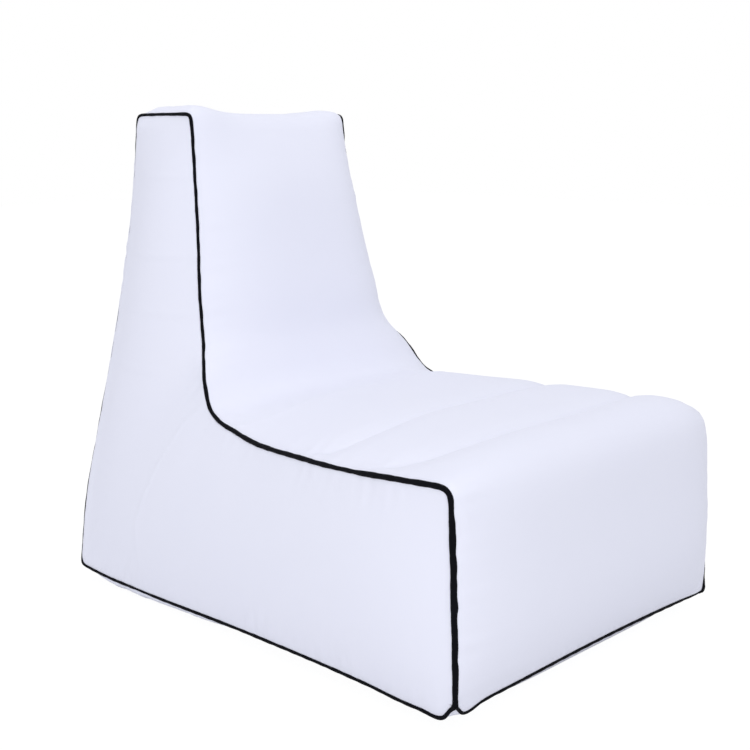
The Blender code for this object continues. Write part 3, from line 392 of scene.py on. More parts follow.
class Skin:
    """The cover's outside or a chamber's outside."""

    def __init__(self, seam_loop, middle_curve, floor, side_drop):
        self.seam, self.middle, self.floor, self.side_drop = seam_loop, middle_curve, floor, side_drop

    def across(self, stations, shares):
        """Panel that spans the width. At a share t of the half width the section is
        seam (1 - f) + middle f with f = (1 - |t|^n)^m and a smaller n on the sitter's right, plus a hump
        4 t^4 (1 - t^4) on each side of the top, the sitter's right one taller. No point is lower than
        the floor."""
        edge, centre, hump, normal, flatness, squareness = (at(curve, stations)[:, None] for curve in (
            self.seam, self.middle, humps[:, None], middle_normals, fullness[:, None], shoulder[:, None]))
        t = np.broadcast_to(shares, (len(stations), np.shape(shares)[-1]))[..., None]
        full = (1 - np.abs(t) ** (flatness * np.where(t < 0, near_fullness, 1))) ** squareness
        lift = hump * normal * 4 * t ** 4 * (1 - t ** 4) * (1 - hump_lean * t)
        section = edge[..., 1:] * (1 - full) + centre * full + lift
        section[..., 1] = np.maximum(section[..., 1], self.floor)
        return np.concatenate((t * edge[..., :1], section), axis=2)

    def side(self, numbers, heights):
        """Side panel at x < 0, by slat and share of the slat: straight lines, whose two ends follow
        the front and top seams, then blown up with a push 8 c / l^2, which gives a long strip as wide as
        the slat, l, a crown of c. It starts from that strip's parabola, 4 c v (1 - v)."""
        outer, inner = slats(numbers)
        u, v = (numbers / slat_total)[:, None, None], heights[None, :, None]
        lines = at(self.seam, outer)[:, None, :] * (1 - v) + at(self.seam, inner)[:, None, :] * v
        base = (lines + (1 - u) ** edge_fade * (at(self.seam, station("front", heights)) - lines[0])
                + u ** edge_fade * (at(self.seam, station("top", 1 - heights)) - lines[-1]))
        base[..., 0] *= -1
        crown = (side_seat_crown * (1 - u) + side_back_crown * u - self.side_drop)[..., 0]
        span = np.linalg.norm(base[:, -1] - base[:, 0], axis=1)[1:-1, None]
        base[1:-1, :, 0] -= (crown * 4 * v[..., 0] * (1 - v[..., 0]))[1:-1]
        base[..., 0] = blown_up(base, -8 * crown[1:-1] / span ** 2, side_rounds)
        return base


# %% [markdown]
# ## Channels and corners
#
# Webs inside the seat chamber tie its top down along two channels, whose ends bend back towards the
# side seams. Sewn corners pull upwards: the front foot corner is a small notch, where cloth and piping rise
# into the corner and dip beside it, and the front's lower edge arches a little. These depend only on
# where a point is, so cloth, film and piping that meet somewhere move by the same amount.

# %% Channels
channel_lines = (
    ((-0.368, 0.300), (-0.345, 0.175), (-0.300, 0.122), (-0.240, 0.103), (-0.100, 0.096), (0.070, 0.096),
     (0.200, 0.103), (0.290, 0.125), (0.345, 0.175), (0.368, 0.300)),
    ((-0.348, 0.470), (-0.335, 0.380), (-0.310, 0.320), (-0.260, 0.297), (-0.100, 0.290), (0.100, 0.290),
     (0.260, 0.305), (0.310, 0.335), (0.335, 0.390), (0.348, 0.470)))
channel_depth = 0.0055
channel_reach = 0.028
crease_depth = 0.0032
crease_reach = 0.0058
seat_lowest = 0.300
channel_fade = 0.07
seam_fade = 0.035


def line_distance(points, line):
    """Distance of every point from a polyline, and the share of the way along it."""
    best = np.full(points.shape[:-1], np.inf)
    share = np.zeros(points.shape[:-1])
    for number, (start, end) in enumerate(zip(line[:-1], line[1:])):
        run = end - start
        part = np.clip(((points - start) @ run) / (run @ run), 0, 1)
        distance = np.linalg.norm(points - start - part[..., None] * run, axis=-1)
        nearer = distance < best
        best = np.where(nearer, distance, best)
        share = np.where(nearer, (number + part) / (len(line) - 1), share)
    return best, share


def sunk(points):
    """Depth of the seat channels in plan view: a exp(-(d/r)^2) + b exp(-(d/s)^2) in the distance d from
    each channel's line, fading out at both ends and beside the side seams."""
    plan = points[..., :2] - (0, seam[0, 1])
    depth = np.zeros(points.shape[:-1])
    for line in channel_lines:
        smooth = through(np.array(line))[::8]
        distance, share = line_distance(plan, smooth)
        fade = smooth_step(np.minimum(share, 1 - share) / channel_fade)
        depth += (channel_depth * np.exp(-(distance / channel_reach) ** 2)
                  + crease_depth * np.exp(-(distance / crease_reach) ** 2)) * fade
    edge = seam[starts["seat_back"]:starts["top"]]
    inside = np.interp(plan[..., 1], edge[:, 1] - seam[0, 1], edge[:, 0]) - np.abs(plan[..., 0])
    return depth * smooth_step(inside / seam_fade) * (points[..., 2] > seat_lowest)


# %% Settle
corner_lift = 0.013
corner_reach = 0.015
corner_dip = 0.006
dip_reach = 0.034
front_arch = 0.009
foot_reach = 0.045
far_corner_share = 0.1
foot_lean = 0.0060
lean_height = 0.30
lean_reach = 0.12
round_depth = 0.0085
round_reach = 0.055
round_height_share = 0.42
round_run = (-0.6, 0.35, -0.7)


def settled(points):
    """Moves points up or down near the front's foot: a exp(-(d/r)^3) - b (d/q)^2 exp(1 - (d/q)^2) in
    the distance d from the nearer corner, and an arch 1 - (x/w)^2 along the front's lower edge. Sinks
    the seat's channels, rounds the front's upper corner on the sitter's left and leans the front in at
    its other foot."""
    half, front, foot = seam[0]
    sideways = np.abs(points[..., 0]) - half
    depth, height = points[..., 1] - front, points[..., 2] - foot
    distance = np.sqrt(sideways ** 2 + depth ** 2 + height ** 2)
    ring = (distance / dip_reach) ** 2
    rise = corner_lift * np.exp(-(distance / corner_reach) ** 3) - corner_dip * ring * np.exp(1 - ring)
    rise *= np.where(points[..., 0] > 0, far_corner_share, 1.0)
    edge = np.exp(-(depth ** 2 + height ** 2) / foot_reach ** 2)
    rise += front_arch * edge * np.clip(1 - (points[..., 0] / half) ** 2, 0, 1)
    rise -= sunk(points)
    corner = points - (half, front, foot + round_height_share * seam_height)
    inwards = round_depth * np.exp(-(np.linalg.norm(corner, axis=-1) / round_reach) ** 2)
    moved = points + inwards[..., None] * round_run
    beside = np.exp(-((points[..., 0] + half) ** 2 + depth ** 2) / lean_reach ** 2)
    moved[..., 1] += foot_lean * np.clip(1 - height / lean_height, 0, 1) ** 2 * beside
    return np.concatenate((moved[..., :2], np.maximum(moved[..., 2:] + rise[..., None], 0)), axis=-1)


# %% Grid rows and columns
cover = Skin(seam, middle, 0.0, 0.0)
column_count = 101
column_bend = math.pi / 2 * 0.86
columns = np.sin(np.linspace(-1, 1, column_count) * column_bend) / math.sin(column_bend)
front_stations = station("front", height_shares)
top_stations = station("top", height_shares)


# %% Meshes from grids
def faces_of(rows, across, first=0):
    """Corner numbers of a grid's faces, which look along columns x rows."""
    corner = first + np.arange(rows * across).reshape(rows, across)
    return np.stack((corner[:-1, :-1], corner[:-1, 1:], corner[1:, 1:], corner[1:, :-1]), axis=-1)


def placed(name, data, slot, body="sofa", node=None):
    """Makes a mesh a piece of the sofa: its finish, its body and the node that it replaces."""
    data.name = name
    data.materials.clear()
    data.materials.append(looks[slot])
    made = bpy.data.objects.new(name, data)
    bpy.context.scene.collection.objects.link(made)
    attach(made, body)
    if node:
        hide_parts(node)
    return made


def mesh_piece(name, points, faces, slot, body="sofa", node=None, uv=None):
    """A piece of the sofa from vertices and faces."""
    data = bpy.data.meshes.new(name)
    data.from_pydata(np.asarray(points).reshape(-1, 3), [], np.asarray(faces).reshape(-1, 4).tolist())
    if uv is not None:
        corners = np.empty(len(data.loops), int)
        data.loops.foreach_get("vertex_index", corners)
        layer = data.uv_layers.new(name="cloth")
        layer.data.foreach_set("uv", np.asarray(uv).reshape(-1, 2)[corners].ravel())
    data.shade_smooth()
    print(name + ":", len(data.vertices), "points,", len(data.polygons), "faces")
    return placed(name, data, slot, body, node)


def vertex_places(data):
    """Vertices of a mesh, one in a row."""
    found = np.empty(len(data.vertices) * 3)
    data.vertices.foreach_get("co", found)
    return found.reshape(-1, 3)


def welded(made, reach, fill=False):
    """Merges a mesh's doubled points, closes its ends if asked, and turns its faces outwards."""
    mesh = bmesh.new()
    mesh.from_mesh(made.data)
    bmesh.ops.remove_doubles(mesh, verts=mesh.verts, dist=reach)
    bmesh.ops.dissolve_degenerate(mesh, edges=mesh.edges, dist=reach / 10)
    if fill:
        bmesh.ops.holes_fill(mesh, edges=[edge for edge in mesh.edges if edge.is_boundary])
    bmesh.ops.recalc_face_normals(mesh, faces=mesh.faces)
    print(made.name, "open edges:", sum(edge.is_boundary for edge in mesh.edges))
    mesh.to_mesh(made.data)
    mesh.free()
    return made


def run_lengths(points, axis):
    """Distance of each point of a grid from its line's first point, along the line."""
    steps = np.linalg.norm(np.diff(points, axis=axis), axis=2)
    return np.insert(np.cumsum(steps, axis=axis), 0, 0, axis=axis)


def grid_lengths(points):
    """Distances along both directions of a grid from its middle, as a map in metres."""
    across, along = run_lengths(points, 1), run_lengths(points, 0)
    across -= across[:, across.shape[1] // 2, None]
    return np.stack((across, along), axis=2)


def grid_area(points):
    """Area of a grid, as half the cross product of each face's diagonals."""
    first = points[1:, 1:] - points[:-1, :-1]
    second = points[1:, :-1] - points[:-1, 1:]
    return float(np.linalg.norm(np.cross(first, second), axis=2).sum() / 2)


def walled(made, thickness):
    """Gives a sheet its thickness, inwards."""
    wall = made.modifiers.new("thickness", "SOLIDIFY")
    wall.thickness = thickness
    wall.offset = -1
    return made


# %% [markdown]
# ## Shader maths
#
# Finishes are written as Python expressions. The class below wraps a socket, and its arithmetic adds
# Math nodes, so that a mask reads like the formula that it is. Every other node comes from one method.

# %% Sockets
class Value:
    """A socket of a material. Arithmetic on it adds Math nodes, and node() adds any other node."""

    def __init__(self, tree, socket=None):
        self.tree, self.socket = tree, socket

    def node(self, kind, inputs, out=0, **settings):
        """Adds a node with its settings and the values or links of its sockets. Gives the output asked
        for."""
        made = self.tree.nodes.new(kind)
        for name, setting in settings.items():
            setattr(made, name, setting)
        for name, value in inputs.items():
            if isinstance(value, Value):
                self.tree.links.new(value.socket, made.inputs[name])
            else:
                made.inputs[name].default_value = value
        return Value(self.tree, made.outputs[out])

    def maths(self, operation, *values):
        """A Math node on these values."""
        return self.node("ShaderNodeMath", dict(enumerate(values)), operation=operation)

    def __add__(self, other):
        return self.maths("ADD", self, other)

    def __sub__(self, other):
        return self.maths("SUBTRACT", self, other)

    def __rsub__(self, other):
        return self.maths("SUBTRACT", other, self)

    def __mul__(self, other):
        return self.maths("MULTIPLY", self, other)

    def __pow__(self, other):
        return self.maths("POWER", self, other)

    __radd__, __rmul__ = __add__, __mul__

    def wave(self):
        """Sine of this value."""
        return self.maths("SINE", self)

    def mix(self, first, second):
        """The first colour where this is 0, the second where it is 1."""
        return self.node("ShaderNodeMix", {0: self, 6: first, 7: second}, out=2, data_type="RGBA")

    def noise(self, scale, detail=2.0):
        """Noise over this place."""
        return self.node("ShaderNodeTexNoise", {"Vector": self, "Scale": scale, "Detail": detail})

    def part(self, axis):
        """One number of a place: 0 is x, 1 is y, 2 is z."""
        return self.node("ShaderNodeSeparateXYZ", {"Vector": self}, out=axis)

    def stretched(self, scale):
        """This place with its three numbers scaled."""
        return self.node("ShaderNodeMapping", {"Vector": self, "Scale": scale})


def finish(name, make, colour, roughness, metallic=0.0, **shader_values):
    """A material whose make(place, uv) gives a dictionary of what varies over the surface."""
    made = bpy.data.materials.new(name)
    made.use_nodes = True
    tree = made.node_tree
    shader = tree.nodes["Principled BSDF"]
    values = {"Base Color": (*colour, 1), "Roughness": roughness, "Metallic": metallic,
              **{key.replace("_", " "): value for key, value in shader_values.items()}}
    for key, value in values.items():
        shader.inputs[key].default_value = value
    places = tree.nodes.new("ShaderNodeTexCoord")
    place, uv = Value(tree, places.outputs["Object"]), Value(tree, places.outputs["UV"])
    for key, value in make(place, uv).items():
        tree.links.new(value.socket, shader.inputs[key])
    made.diffuse_color = (*colour, 1)
    return made


# %% [markdown]
# ## Finishes
#
# The cover is a plain woven polyester, matte and a shade cooler than white. Its weave is far finer than
# the folds, so it is a bump of two crossed sines on the panel's own map, and the colour varies only
# by a percent or two, as real cloth does. The piping is a tape of the same weave in black with a little
# more sheen. Film, rubber, moulded plastic and die-cast metal each get their own grain.

# %% Cloth
yarn_pitch = 0.0010
cloth_white = (0.800, 0.806, 0.905)
cloth_shade = (0.772, 0.780, 0.890)


def weave(uv, pitch):
    """Height of a plain weave: two crossed sets of yarns, sin(x) sin(y)."""
    turns = math.tau / pitch
    return (uv.part(0) * turns).wave() * (uv.part(1) * turns).wave()


def cloth_look(place, uv):
    """Crossed yarns, slubs along them and slow clouding of the colour."""
    yarns = weave(uv, yarn_pitch)
    slubs = uv.stretched((60, 900, 1)).noise(1.0) + uv.stretched((900, 60, 1)).noise(1.0)
    cloud = place.noise(7.0, 3.0)
    colour = (cloud * 0.55 + slubs * 0.20).mix((*cloth_white, 1), (*cloth_shade, 1))
    height = yarns * 0.25 + slubs * 0.6
    bump = uv.node("ShaderNodeBump", {"Strength": 0.25, "Distance": 0.0002, "Height": height})
    return {"Base Color": colour, "Roughness": 0.78 + slubs * 0.08, "Normal": bump}


cloth = finish("cover_cloth", cloth_look, cloth_white, 0.85, Sheen_Weight=0.15, Sheen_Roughness=0.5)

# %% Piping tape
tape_black = (0.0022, 0.0023, 0.0040)
tape_worn = (0.0062, 0.0064, 0.0095)
tape_pitch = 0.0011


def piping_look(place, uv):
    """A bias-cut weave that runs slantwise round the cord, greyer where it rubs."""
    across, along = uv.part(0), uv.part(1)
    slant, counter = across + along, across - along
    yarns = (slant * (math.tau / tape_pitch)).wave() * (counter * (math.tau / tape_pitch)).wave()
    rubbed = place.noise(40.0, 4.0)
    bump = uv.node("ShaderNodeBump", {"Strength": 0.35, "Distance": 0.0003,
                                      "Height": yarns * 0.4 + place.noise(500.0)})
    return {"Base Color": (rubbed ** 2.0).mix((*tape_black, 1), (*tape_worn, 1)),
            "Roughness": 0.45 + rubbed * 0.2, "Normal": bump}


tape = finish("piping_tape", piping_look, tape_black, 0.5, Specular_IOR_Level=0.04)


# %% Film, rubber, plastic, zip tape and metal
def grained(scale, depth, base, other, roughness, spread):
    """A look with fine noise in its height, its colour between two close shades and its gloss."""
    def look(place, uv):
        grain, cloud = place.noise(scale, 3.0), place.noise(scale / 20, 2.0)
        bump = place.node("ShaderNodeBump", {"Strength": 0.3, "Distance": depth, "Height": grain})
        return {"Base Color": cloud.mix((*base, 1), (*other, 1)),
                "Roughness": roughness - spread / 2 + grain * spread, "Normal": bump}
    return look


film_grey = (0.55, 0.57, 0.60)
film = finish("film", grained(260.0, 0.0004, film_grey, (0.50, 0.52, 0.56), 0.32, 0.12), film_grey, 0.32,
              Coat_Weight=0.2)
valve_grey = (0.30, 0.31, 0.33)
plastic = finish("valve_plastic", grained(2200.0, 0.0001, valve_grey, (0.27, 0.28, 0.30), 0.42, 0.16),
                 valve_grey, 0.42)
rubber = finish("seal_rubber", grained(1500.0, 0.0001, (0.020, 0.020, 0.021), (0.032, 0.031, 0.030),
                                       0.62, 0.15), (0.02, 0.02, 0.02), 0.62)
metal = finish("zip_metal", grained(3000.0, 0.00005, (0.62, 0.63, 0.66), (0.54, 0.55, 0.58), 0.34, 0.2),
               (0.62, 0.63, 0.66), 0.34, 1.0)


def zip_tape_look(place, uv):
    """A herringbone weave: the yarns' slant turns round every few millimetres."""
    stripe = (place.part(0) * (math.tau / 0.0030)).wave()
    yarns = ((place.part(2) + stripe * 0.0006) * (math.tau / 0.0012)).wave()
    grain = place.noise(900.0)
    bump = place.node("ShaderNodeBump", {"Strength": 0.4, "Distance": 0.0002, "Height": yarns * 0.5 + grain})
    return {"Base Color": (yarns * 0.2 + grain * 0.6).mix((0.76, 0.765, 0.82, 1), (0.66, 0.665, 0.73, 1)),
            "Roughness": 0.7 + grain * 0.15, "Normal": bump}


zip_tape = finish("zip_tape", zip_tape_look, (0.74, 0.74, 0.80), 0.8)
looks = {"cover_cloth": cloth, "piping": tape, "film": film, "valve_plastic": plastic,
         "seal_rubber": rubber, "zip_tape": zip_tape, "zip_metal": metal}
for part in frame["record"]["subparts"]:
    node = nodes[part["node"]]
    node.data.materials.clear()
    node.data.materials.append(looks[part["material_slot"]])

# %% [markdown]
# ## Air chambers
#
# The chambers fill the cover and are hidden by it. Each is a closed bag of film: its outside panels lie
# just inside the cloth, and one wall faces the other chamber. Three webs tie the chambers flat. They
# keep the CAD's shapes, and their points are held inside the film.

# %% Chamber films
film_inset = 0.014
film_drop = 0.0055
film_gap = 0.0012
film_rounding = 0.016
film_floor = 0.003
inner_curve = blurred(seam, film_rounding, loop_step)
inner_seam = inner_curve.copy()
inner_seam[:, 1:] -= outward(inner_curve[:, 1:]) * film_inset
inner_seam[:, 0] -= film_inset
air = Skin(inner_seam, middle - middle_normals * film_drop, film_floor, film_inset / 2)
split = split_slat * slat_fineness


def film_wall(low_row, high_row, side_row):
    """The wall between the chambers: straight from its floor row to its top row, plus
    the swell of its two sides, each fading out towards the other."""
    v, t = height_shares[:, None, None], ((columns + 1) / 2)[None, :, None]
    lines = low_row[None] * (1 - v) + high_row[None] * v
    right = side_row[:, None] - lines[:, :1]
    left = side_row[:, None] * (-1, 1, 1) - lines[:, -1:]
    return lines + right * (1 - t) + left * t


def film_bag(name, node, upper_rows, under_rows, slat_run, wall_first):
    """A closed bag of film from its upper and under panels, two sides and a wall."""
    upper, under = air.across(upper_rows, columns), air.across(under_rows, columns)
    side = air.side(side_numbers, height_shares)[::2][slat_run]
    if wall_first:
        shift, wall = film_gap / 2, film_wall(under[-1], upper[0], side[0])
    else:
        shift, wall = -film_gap / 2, film_wall(under[0], upper[-1], side[-1])[:, ::-1]
    tables = (upper, under, side, side[:, ::-1] * (-1, 1, 1), wall)
    firsts = np.cumsum([0] + [table[..., 0].size for table in tables])
    faces = [faces_of(*table.shape[:2], first).reshape(-1, 4) for table, first in zip(tables, firsts)]
    points = [settled(table + (0, shift, 0)).reshape(-1, 3) for table in tables]
    made = mesh_piece(name, np.concatenate(points), np.concatenate(faces), "film", node=node)
    welded(made, 1e-5)


film_bag("seat_film", "seat_chamber", np.concatenate((front_stations[:-1], inner_stations[:split + 1])),
         outer_stations[split::-1], slice(0, split + 1), False)
film_bag("back_film", "back_chamber", np.concatenate((inner_stations[split:-1], top_stations)),
         outer_stations[:split - 1:-1], slice(split, None), True)


# %% Webs
web_gap = 0.0012


def film_line(stations, depth):
    """x and z of a seat film panel's section at a depth."""
    lines = settled(air.across(stations, columns)).transpose(1, 0, 2)
    return [np.array([np.interp(depth, line[:, 1], line[:, axis]) for line in lines]) for axis in (0, 2)]


def under_film(points):
    """Holds a seat web between the sections of the seat's upper and under films at its own depth."""
    depth = points[:, 1].mean()
    top = np.interp(points[:, 0], *film_line(inner_stations[:split + 1], depth)) - web_gap
    low = np.interp(points[:, 0], *film_line(outer_stations[:split + 1], depth)) + web_gap
    return np.stack((points[:, 0], points[:, 1], np.clip(points[:, 2], low, top)), axis=1)


def behind_film(points):
    """Holds the back's web behind the film's middle line."""
    line = at(air.middle, inner_stations[split:])
    drawn = np.maximum(points[:, 1], np.interp(points[:, 2], line[:, 1], line[:, 0]) + web_gap)
    return np.stack((points[:, 0], drawn, points[:, 2]), axis=1)


def drawn_web(name, node, held):
    """A carried-over web's own shape with its doubled points merged, held inside the film."""
    data = welded(placed(name, nodes[node].data.copy(), "film", node=node), 1e-6).data
    data.vertices.foreach_set("co", held(vertex_places(data)).ravel())
    data.update()


drawn_web("front_seat_web", "seat_web_front", under_film)
drawn_web("rear_seat_web", "seat_web_rear", under_film)
drawn_web("back_inner_web", "back_web", behind_film)

# %% [markdown]
# ## Puckers and folds
#
# A sewn seam is shorter than the cloth beside it, so small puckers run away from it and die out within
# a hand's width. Long soft folds cross the panels where the chamber bulges less than the cloth. Both
# are heights along the surface's normal: puckers a sum of cosines along the seam that fade with
# the distance from it, folds a bell across a polyline.

# %% Fold helpers
pucker_lengths = (0.027, 0.041, 0.063, 0.097, 0.170)
patch_lengths = (0.11, 0.047)
pucker_norm = 2.5


def puckers(along, away, seed, height, reach):
    """Sum of cosines of uneven lengths along a seam, times (d / r) exp(1 - d / r) in the distance d."""
    draw = np.random.default_rng(seed)
    waves = sum(draw.uniform(0.5, 1.0) * np.cos(math.tau * along / length + draw.uniform(0, math.tau))
                for length in pucker_lengths)
    patches = np.cos(along / patch_lengths[0] + draw.uniform(0, math.tau)) * np.cos(along / patch_lengths[1])
    strength = 0.5 + 0.5 * patches
    near = np.clip(away, 0, None) / reach
    return height * waves * strength * near * np.exp(1 - near) / pucker_norm


def rolled(away, height, reach):
    """The soft roll of cloth beside a seam, under which the piping sinks: (d / r) exp(1 - d / r)."""
    near = np.clip(away, 0, None) / reach
    return height * near * np.exp(1 - near)


def fold(points, line, height, reach):
    """A soft ridge along a polyline: a bell across it, which swells from nothing at both ends."""
    distance, share = line_distance(points, np.array(line, float))
    return height * np.exp(-(distance / reach) ** 2) * np.sin(math.pi * np.clip(share, 0, 1)) ** 0.5


def seam_distance(points):
    """Distance of each point from its row's nearer end, along the cloth."""
    from_left = run_lengths(points, 1)
    return np.minimum(from_left, from_left[:, -1:] - from_left)


def puckered(points, seed, height, reach):
    """On a panel that spans the width: puckers along both side seams, the distance from the nearer of
    them, and a fade to nothing at the panel's two ends."""
    away, along = seam_distance(points), arc_lengths(points[:, points.shape[1] // 2])[:, None]
    rise = np.where(points[..., 0] < 0, puckers(along, away, seed, height, reach),
                    puckers(along, away, seed + 1, height, reach))
    return rise, away, smooth_step(np.minimum(along, along[-1] - along) / end_fade)


# %% [markdown]
# ## Cover
#
# The strip over front, seat, back and top is one piece of cloth with no seam across it. The floor
# panel and the rear panel close the bottom and the back, and two L-shaped panels close the sides.

# %% Folds
weld_ridge = ((-0.318, 0.640), (-0.300, 0.590), (-0.250, 0.552), (-0.100, 0.538), (0.100, 0.538),
              (0.250, 0.556), (0.300, 0.600), (0.318, 0.640))
split_ridge = ((0.630, 0.457), (0.675, 0.427), (0.735, 0.375), (0.780, 0.300), (0.810, 0.232),
               (0.832, 0.165), (0.825, 0.120), (0.810, 0.067))
side_wrinkles = (((0.969, 0.843), (0.897, 0.837), (0.814, 0.835)), ((0.971, 0.687), (0.898, 0.680),
                 (0.786, 0.684)), ((0.971, 0.575), (0.870, 0.568), (0.744, 0.573)),
                 ((0.985, 0.464), (0.900, 0.455), (0.820, 0.457)))
corner_wrinkles = (((0.370, 0.385), (0.350, 0.382), (0.320, 0.388)), ((0.368, 0.375), (0.352, 0.360),
                   (0.335, 0.352)), ((0.362, 0.362), (0.352, 0.340), (0.349, 0.315)))
weld_fold, split_fold = (0.0011, 0.0045), (0.0012, 0.0042)
wrinkle_fold, corner_fold = (0.0009, 0.0050), (0.0011, 0.0035)
weld_end = 0.66
corner_depth = 0.10


def strip_folds(points):
    """On the centre strip: the weld behind the seat, seen in plan, and creases that run away from the
    front's two upper corners, seen from the front."""
    plan = points[..., :2] - (0, seam[0, 1])
    rise = fold(plan, weld_ridge, *weld_fold) * (points[..., 2] > seat_lowest) * (plan[..., 1] < weld_end)
    face = np.stack((np.abs(points[..., 0]), points[..., 2]), axis=-1)
    for line in corner_wrinkles:
        rise += fold(face, line, *corner_fold) * (plan[..., 1] < corner_depth)
    return rise


def side_folds(points):
    """On a side panel, seen from the side: the weld between the chambers and creases across the back."""
    face = points[..., 1:] - (seam[0, 1], 0)
    rise = fold(face, split_ridge, *split_fold)
    for line in side_wrinkles:
        rise += fold(face, line, *wrinkle_fold)
    return rise


# %% Panels that span the width
cloth_thickness = 0.0010
roll_height = 0.0012
roll_reach = 0.008
rear_roll_height = 0.0040
rear_roll_reach = 0.012
end_fade = 0.02
strip_pucker = (0.0016, 0.022)


def stretched_cloth(name, node, points, faces, used=slice(None)):
    """A panel of the cover from its grid: a cloth with its thickness, stretched over the chambers."""
    made = walled(mesh_piece(name, points.reshape(-1, 3)[used], faces, "cover_cloth", node=node,
                             uv=grid_lengths(points).reshape(-1, 2)[used]), cloth_thickness)
    area = grid_area(points)


def cover_panel(name, node, stations, seed):
    """A panel of the cover that spans the width, with puckers and a roll along both side seams."""
    points = cover.across(stations, columns)
    rise, away, ends = puckered(points, seed, *strip_pucker)
    rise += rolled(away, roll_height, roll_reach)
    points = settled(points + surface_normals(points) * (rise * ends + strip_folds(points))[..., None])
    stretched_cloth(name, node, points, faces_of(*points.shape[:2]))


heel_end = heel_slat * slat_fineness
cover_panel("centre_cloth", "cover_centre",
            np.concatenate((front_stations[:-1], cloth_stations, top_stations[1::2])), 11)
cover_panel("floor_cloth", "cover_bottom", outer_stations[heel_end::-1], 21)


# %% Side panels
side_pucker = 0.0011
behind_slats = 3
end_slats = 1.5
def side_panel(name, node, mirror, seed):
    """An L-shaped side panel, with puckers along its long seams and a taller roll behind."""
    points = cover.side(side_numbers, height_shares)
    away = seam_distance(points)
    low, high = arc_lengths(points[:, 0])[:, None], arc_lengths(points[:, -1])[:, None]
    behind = smooth_step((side_numbers[:, None] - split_slat) / behind_slats)
    rise = np.where(height_shares[None, :] < 0.5, puckers(low, away, seed, side_pucker, 0.018)
                    + rolled(away, rear_roll_height, rear_roll_reach) * behind,
                    puckers(high, away, seed + 1, side_pucker, 0.015) + rolled(away, roll_height, roll_reach))
    ends = smooth_step(np.minimum(side_numbers, slat_total - side_numbers) / end_slats)[:, None]
    points = settled(points + surface_normals(points) * (rise * ends + side_folds(points))[..., None])
    if mirror:
        points = points[:, ::-1] * (-1, 1, 1)
    stretched_cloth(name, node, points, faces_of(*points.shape[:2]))


side_panel("side_cloth_right", "cover_side_right", False, 41)
side_panel("side_cloth_left", "cover_side_left", True, 51)

# %% [markdown]
# ## Rear panel
#
# The rear panel has two openings. The zip's slot is hemmed: its edge is folded under and sewn to the
# tapes. The air valve's eyelet clamps the cloth round a hole. The grid gets columns that run beside
# the slot, and its points near the valve are pressed onto the eyelet's plane and pushed out of the hole.

# %% Zip and valve places
slot_half_width = 0.0105
slot_half_length = 0.296
tape_level = -0.0013
tape_thickness = 0.0005
zip_up = -np.array(joints["slider_slide"]["axis"])
zip_out = np.array((0.0, zip_up[2], -zip_up[1]))
tape_corners = np.array(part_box("zip_tape_left"))
zip_centre = tape_corners.mean(axis=0) * (0, 1, 1) + zip_out * (tape_thickness / 2 - tape_level)
valve_axis = np.array(joints["insert_turn"]["axis"])
valve_place = np.array(joints["insert_turn"]["pos_m"])


def levels(name):
    """Lowest and highest point of a valve node along the valve's axis."""
    along = (vertex_places(nodes[name].data) - valve_place) @ valve_axis
    return float(along.min()), float(along.max())


eyelet_flange = 0.0010
sheet_gap = 0.0003
cloth_level = levels("valve_eyelet")[1] - eyelet_flange - sheet_gap
print("zip centre", zip_centre.round(4), "valve", valve_place, "cloth level", round(cloth_level, 5))

# %% Rear grid
hole_radius = 0.0252
flange_reach = 0.0330
press_fade = 0.045
spread_turn = 1.4
hem_columns = np.array((0.0, 0.0008, 0.0025, 0.0040, 0.0046, 0.0050, 0.0054, 0.0058, 0.0062, 0.0067,
                        0.0074, 0.0100))
hem_layer = 0.0006
hem_width = 0.0060
hem_fade = 0.0012
hem_overrun = 0.010
stitch_line = 0.0050
groove_depth = 0.0005
groove_width = 0.0005
edge_drop = 0.0005
edge_reach = 0.0025
crease_length = 0.012
valve_crease = 0.0007


def rear_stations():
    """Rows of the rear panel: even ones, and one at each end of the slot."""
    fine = station("rear", np.linspace(0, 1, 2001))
    height = (at(middle, fine) - zip_centre[1:]) @ zip_up[1:]
    ends = np.interp((slot_half_length, -slot_half_length), height[::-1], fine[::-1])
    return np.sort(np.concatenate((station("rear", np.linspace(0, 1, 161)), ends)))


def rear_shares(stations):
    """Columns in shares of each row's half width: close ones beside the slot, then wider towards
    the seam, as sin."""
    half = at(seam, stations)[:, :1]
    close = (slot_half_width + hem_columns) / half
    spread = np.sin(np.linspace(0, 1, 46)[1:] * spread_turn) / math.sin(spread_turn)
    right = np.concatenate((close, close[:, -1:] + (1 - close[:, -1:]) * spread), axis=1)
    inside = np.array((-0.5, 0.0, 0.5)) * slot_half_width / half
    return np.concatenate((-right[:, ::-1], inside, right), axis=1)


def hem(points):
    """Height of the slot's hem: two layers of cloth up to its edge, a groove where the stitches pull it
    in, and a rounded edge."""
    from_slot = np.abs(points[..., 0]) - slot_half_width
    height = np.abs((points - zip_centre) @ zip_up)
    layers = hem_layer * (1 - smooth_step((from_slot - hem_width) / hem_fade))
    groove = groove_depth * np.exp(-((from_slot - stitch_line) / groove_width) ** 2)
    edge = edge_drop * np.clip(1 - from_slot / edge_reach, 0, 1) ** 2
    ends = smooth_step((slot_half_length + hem_overrun - height) / 0.004)
    return (layers - groove - edge) * ends * (from_slot > -0.0001)


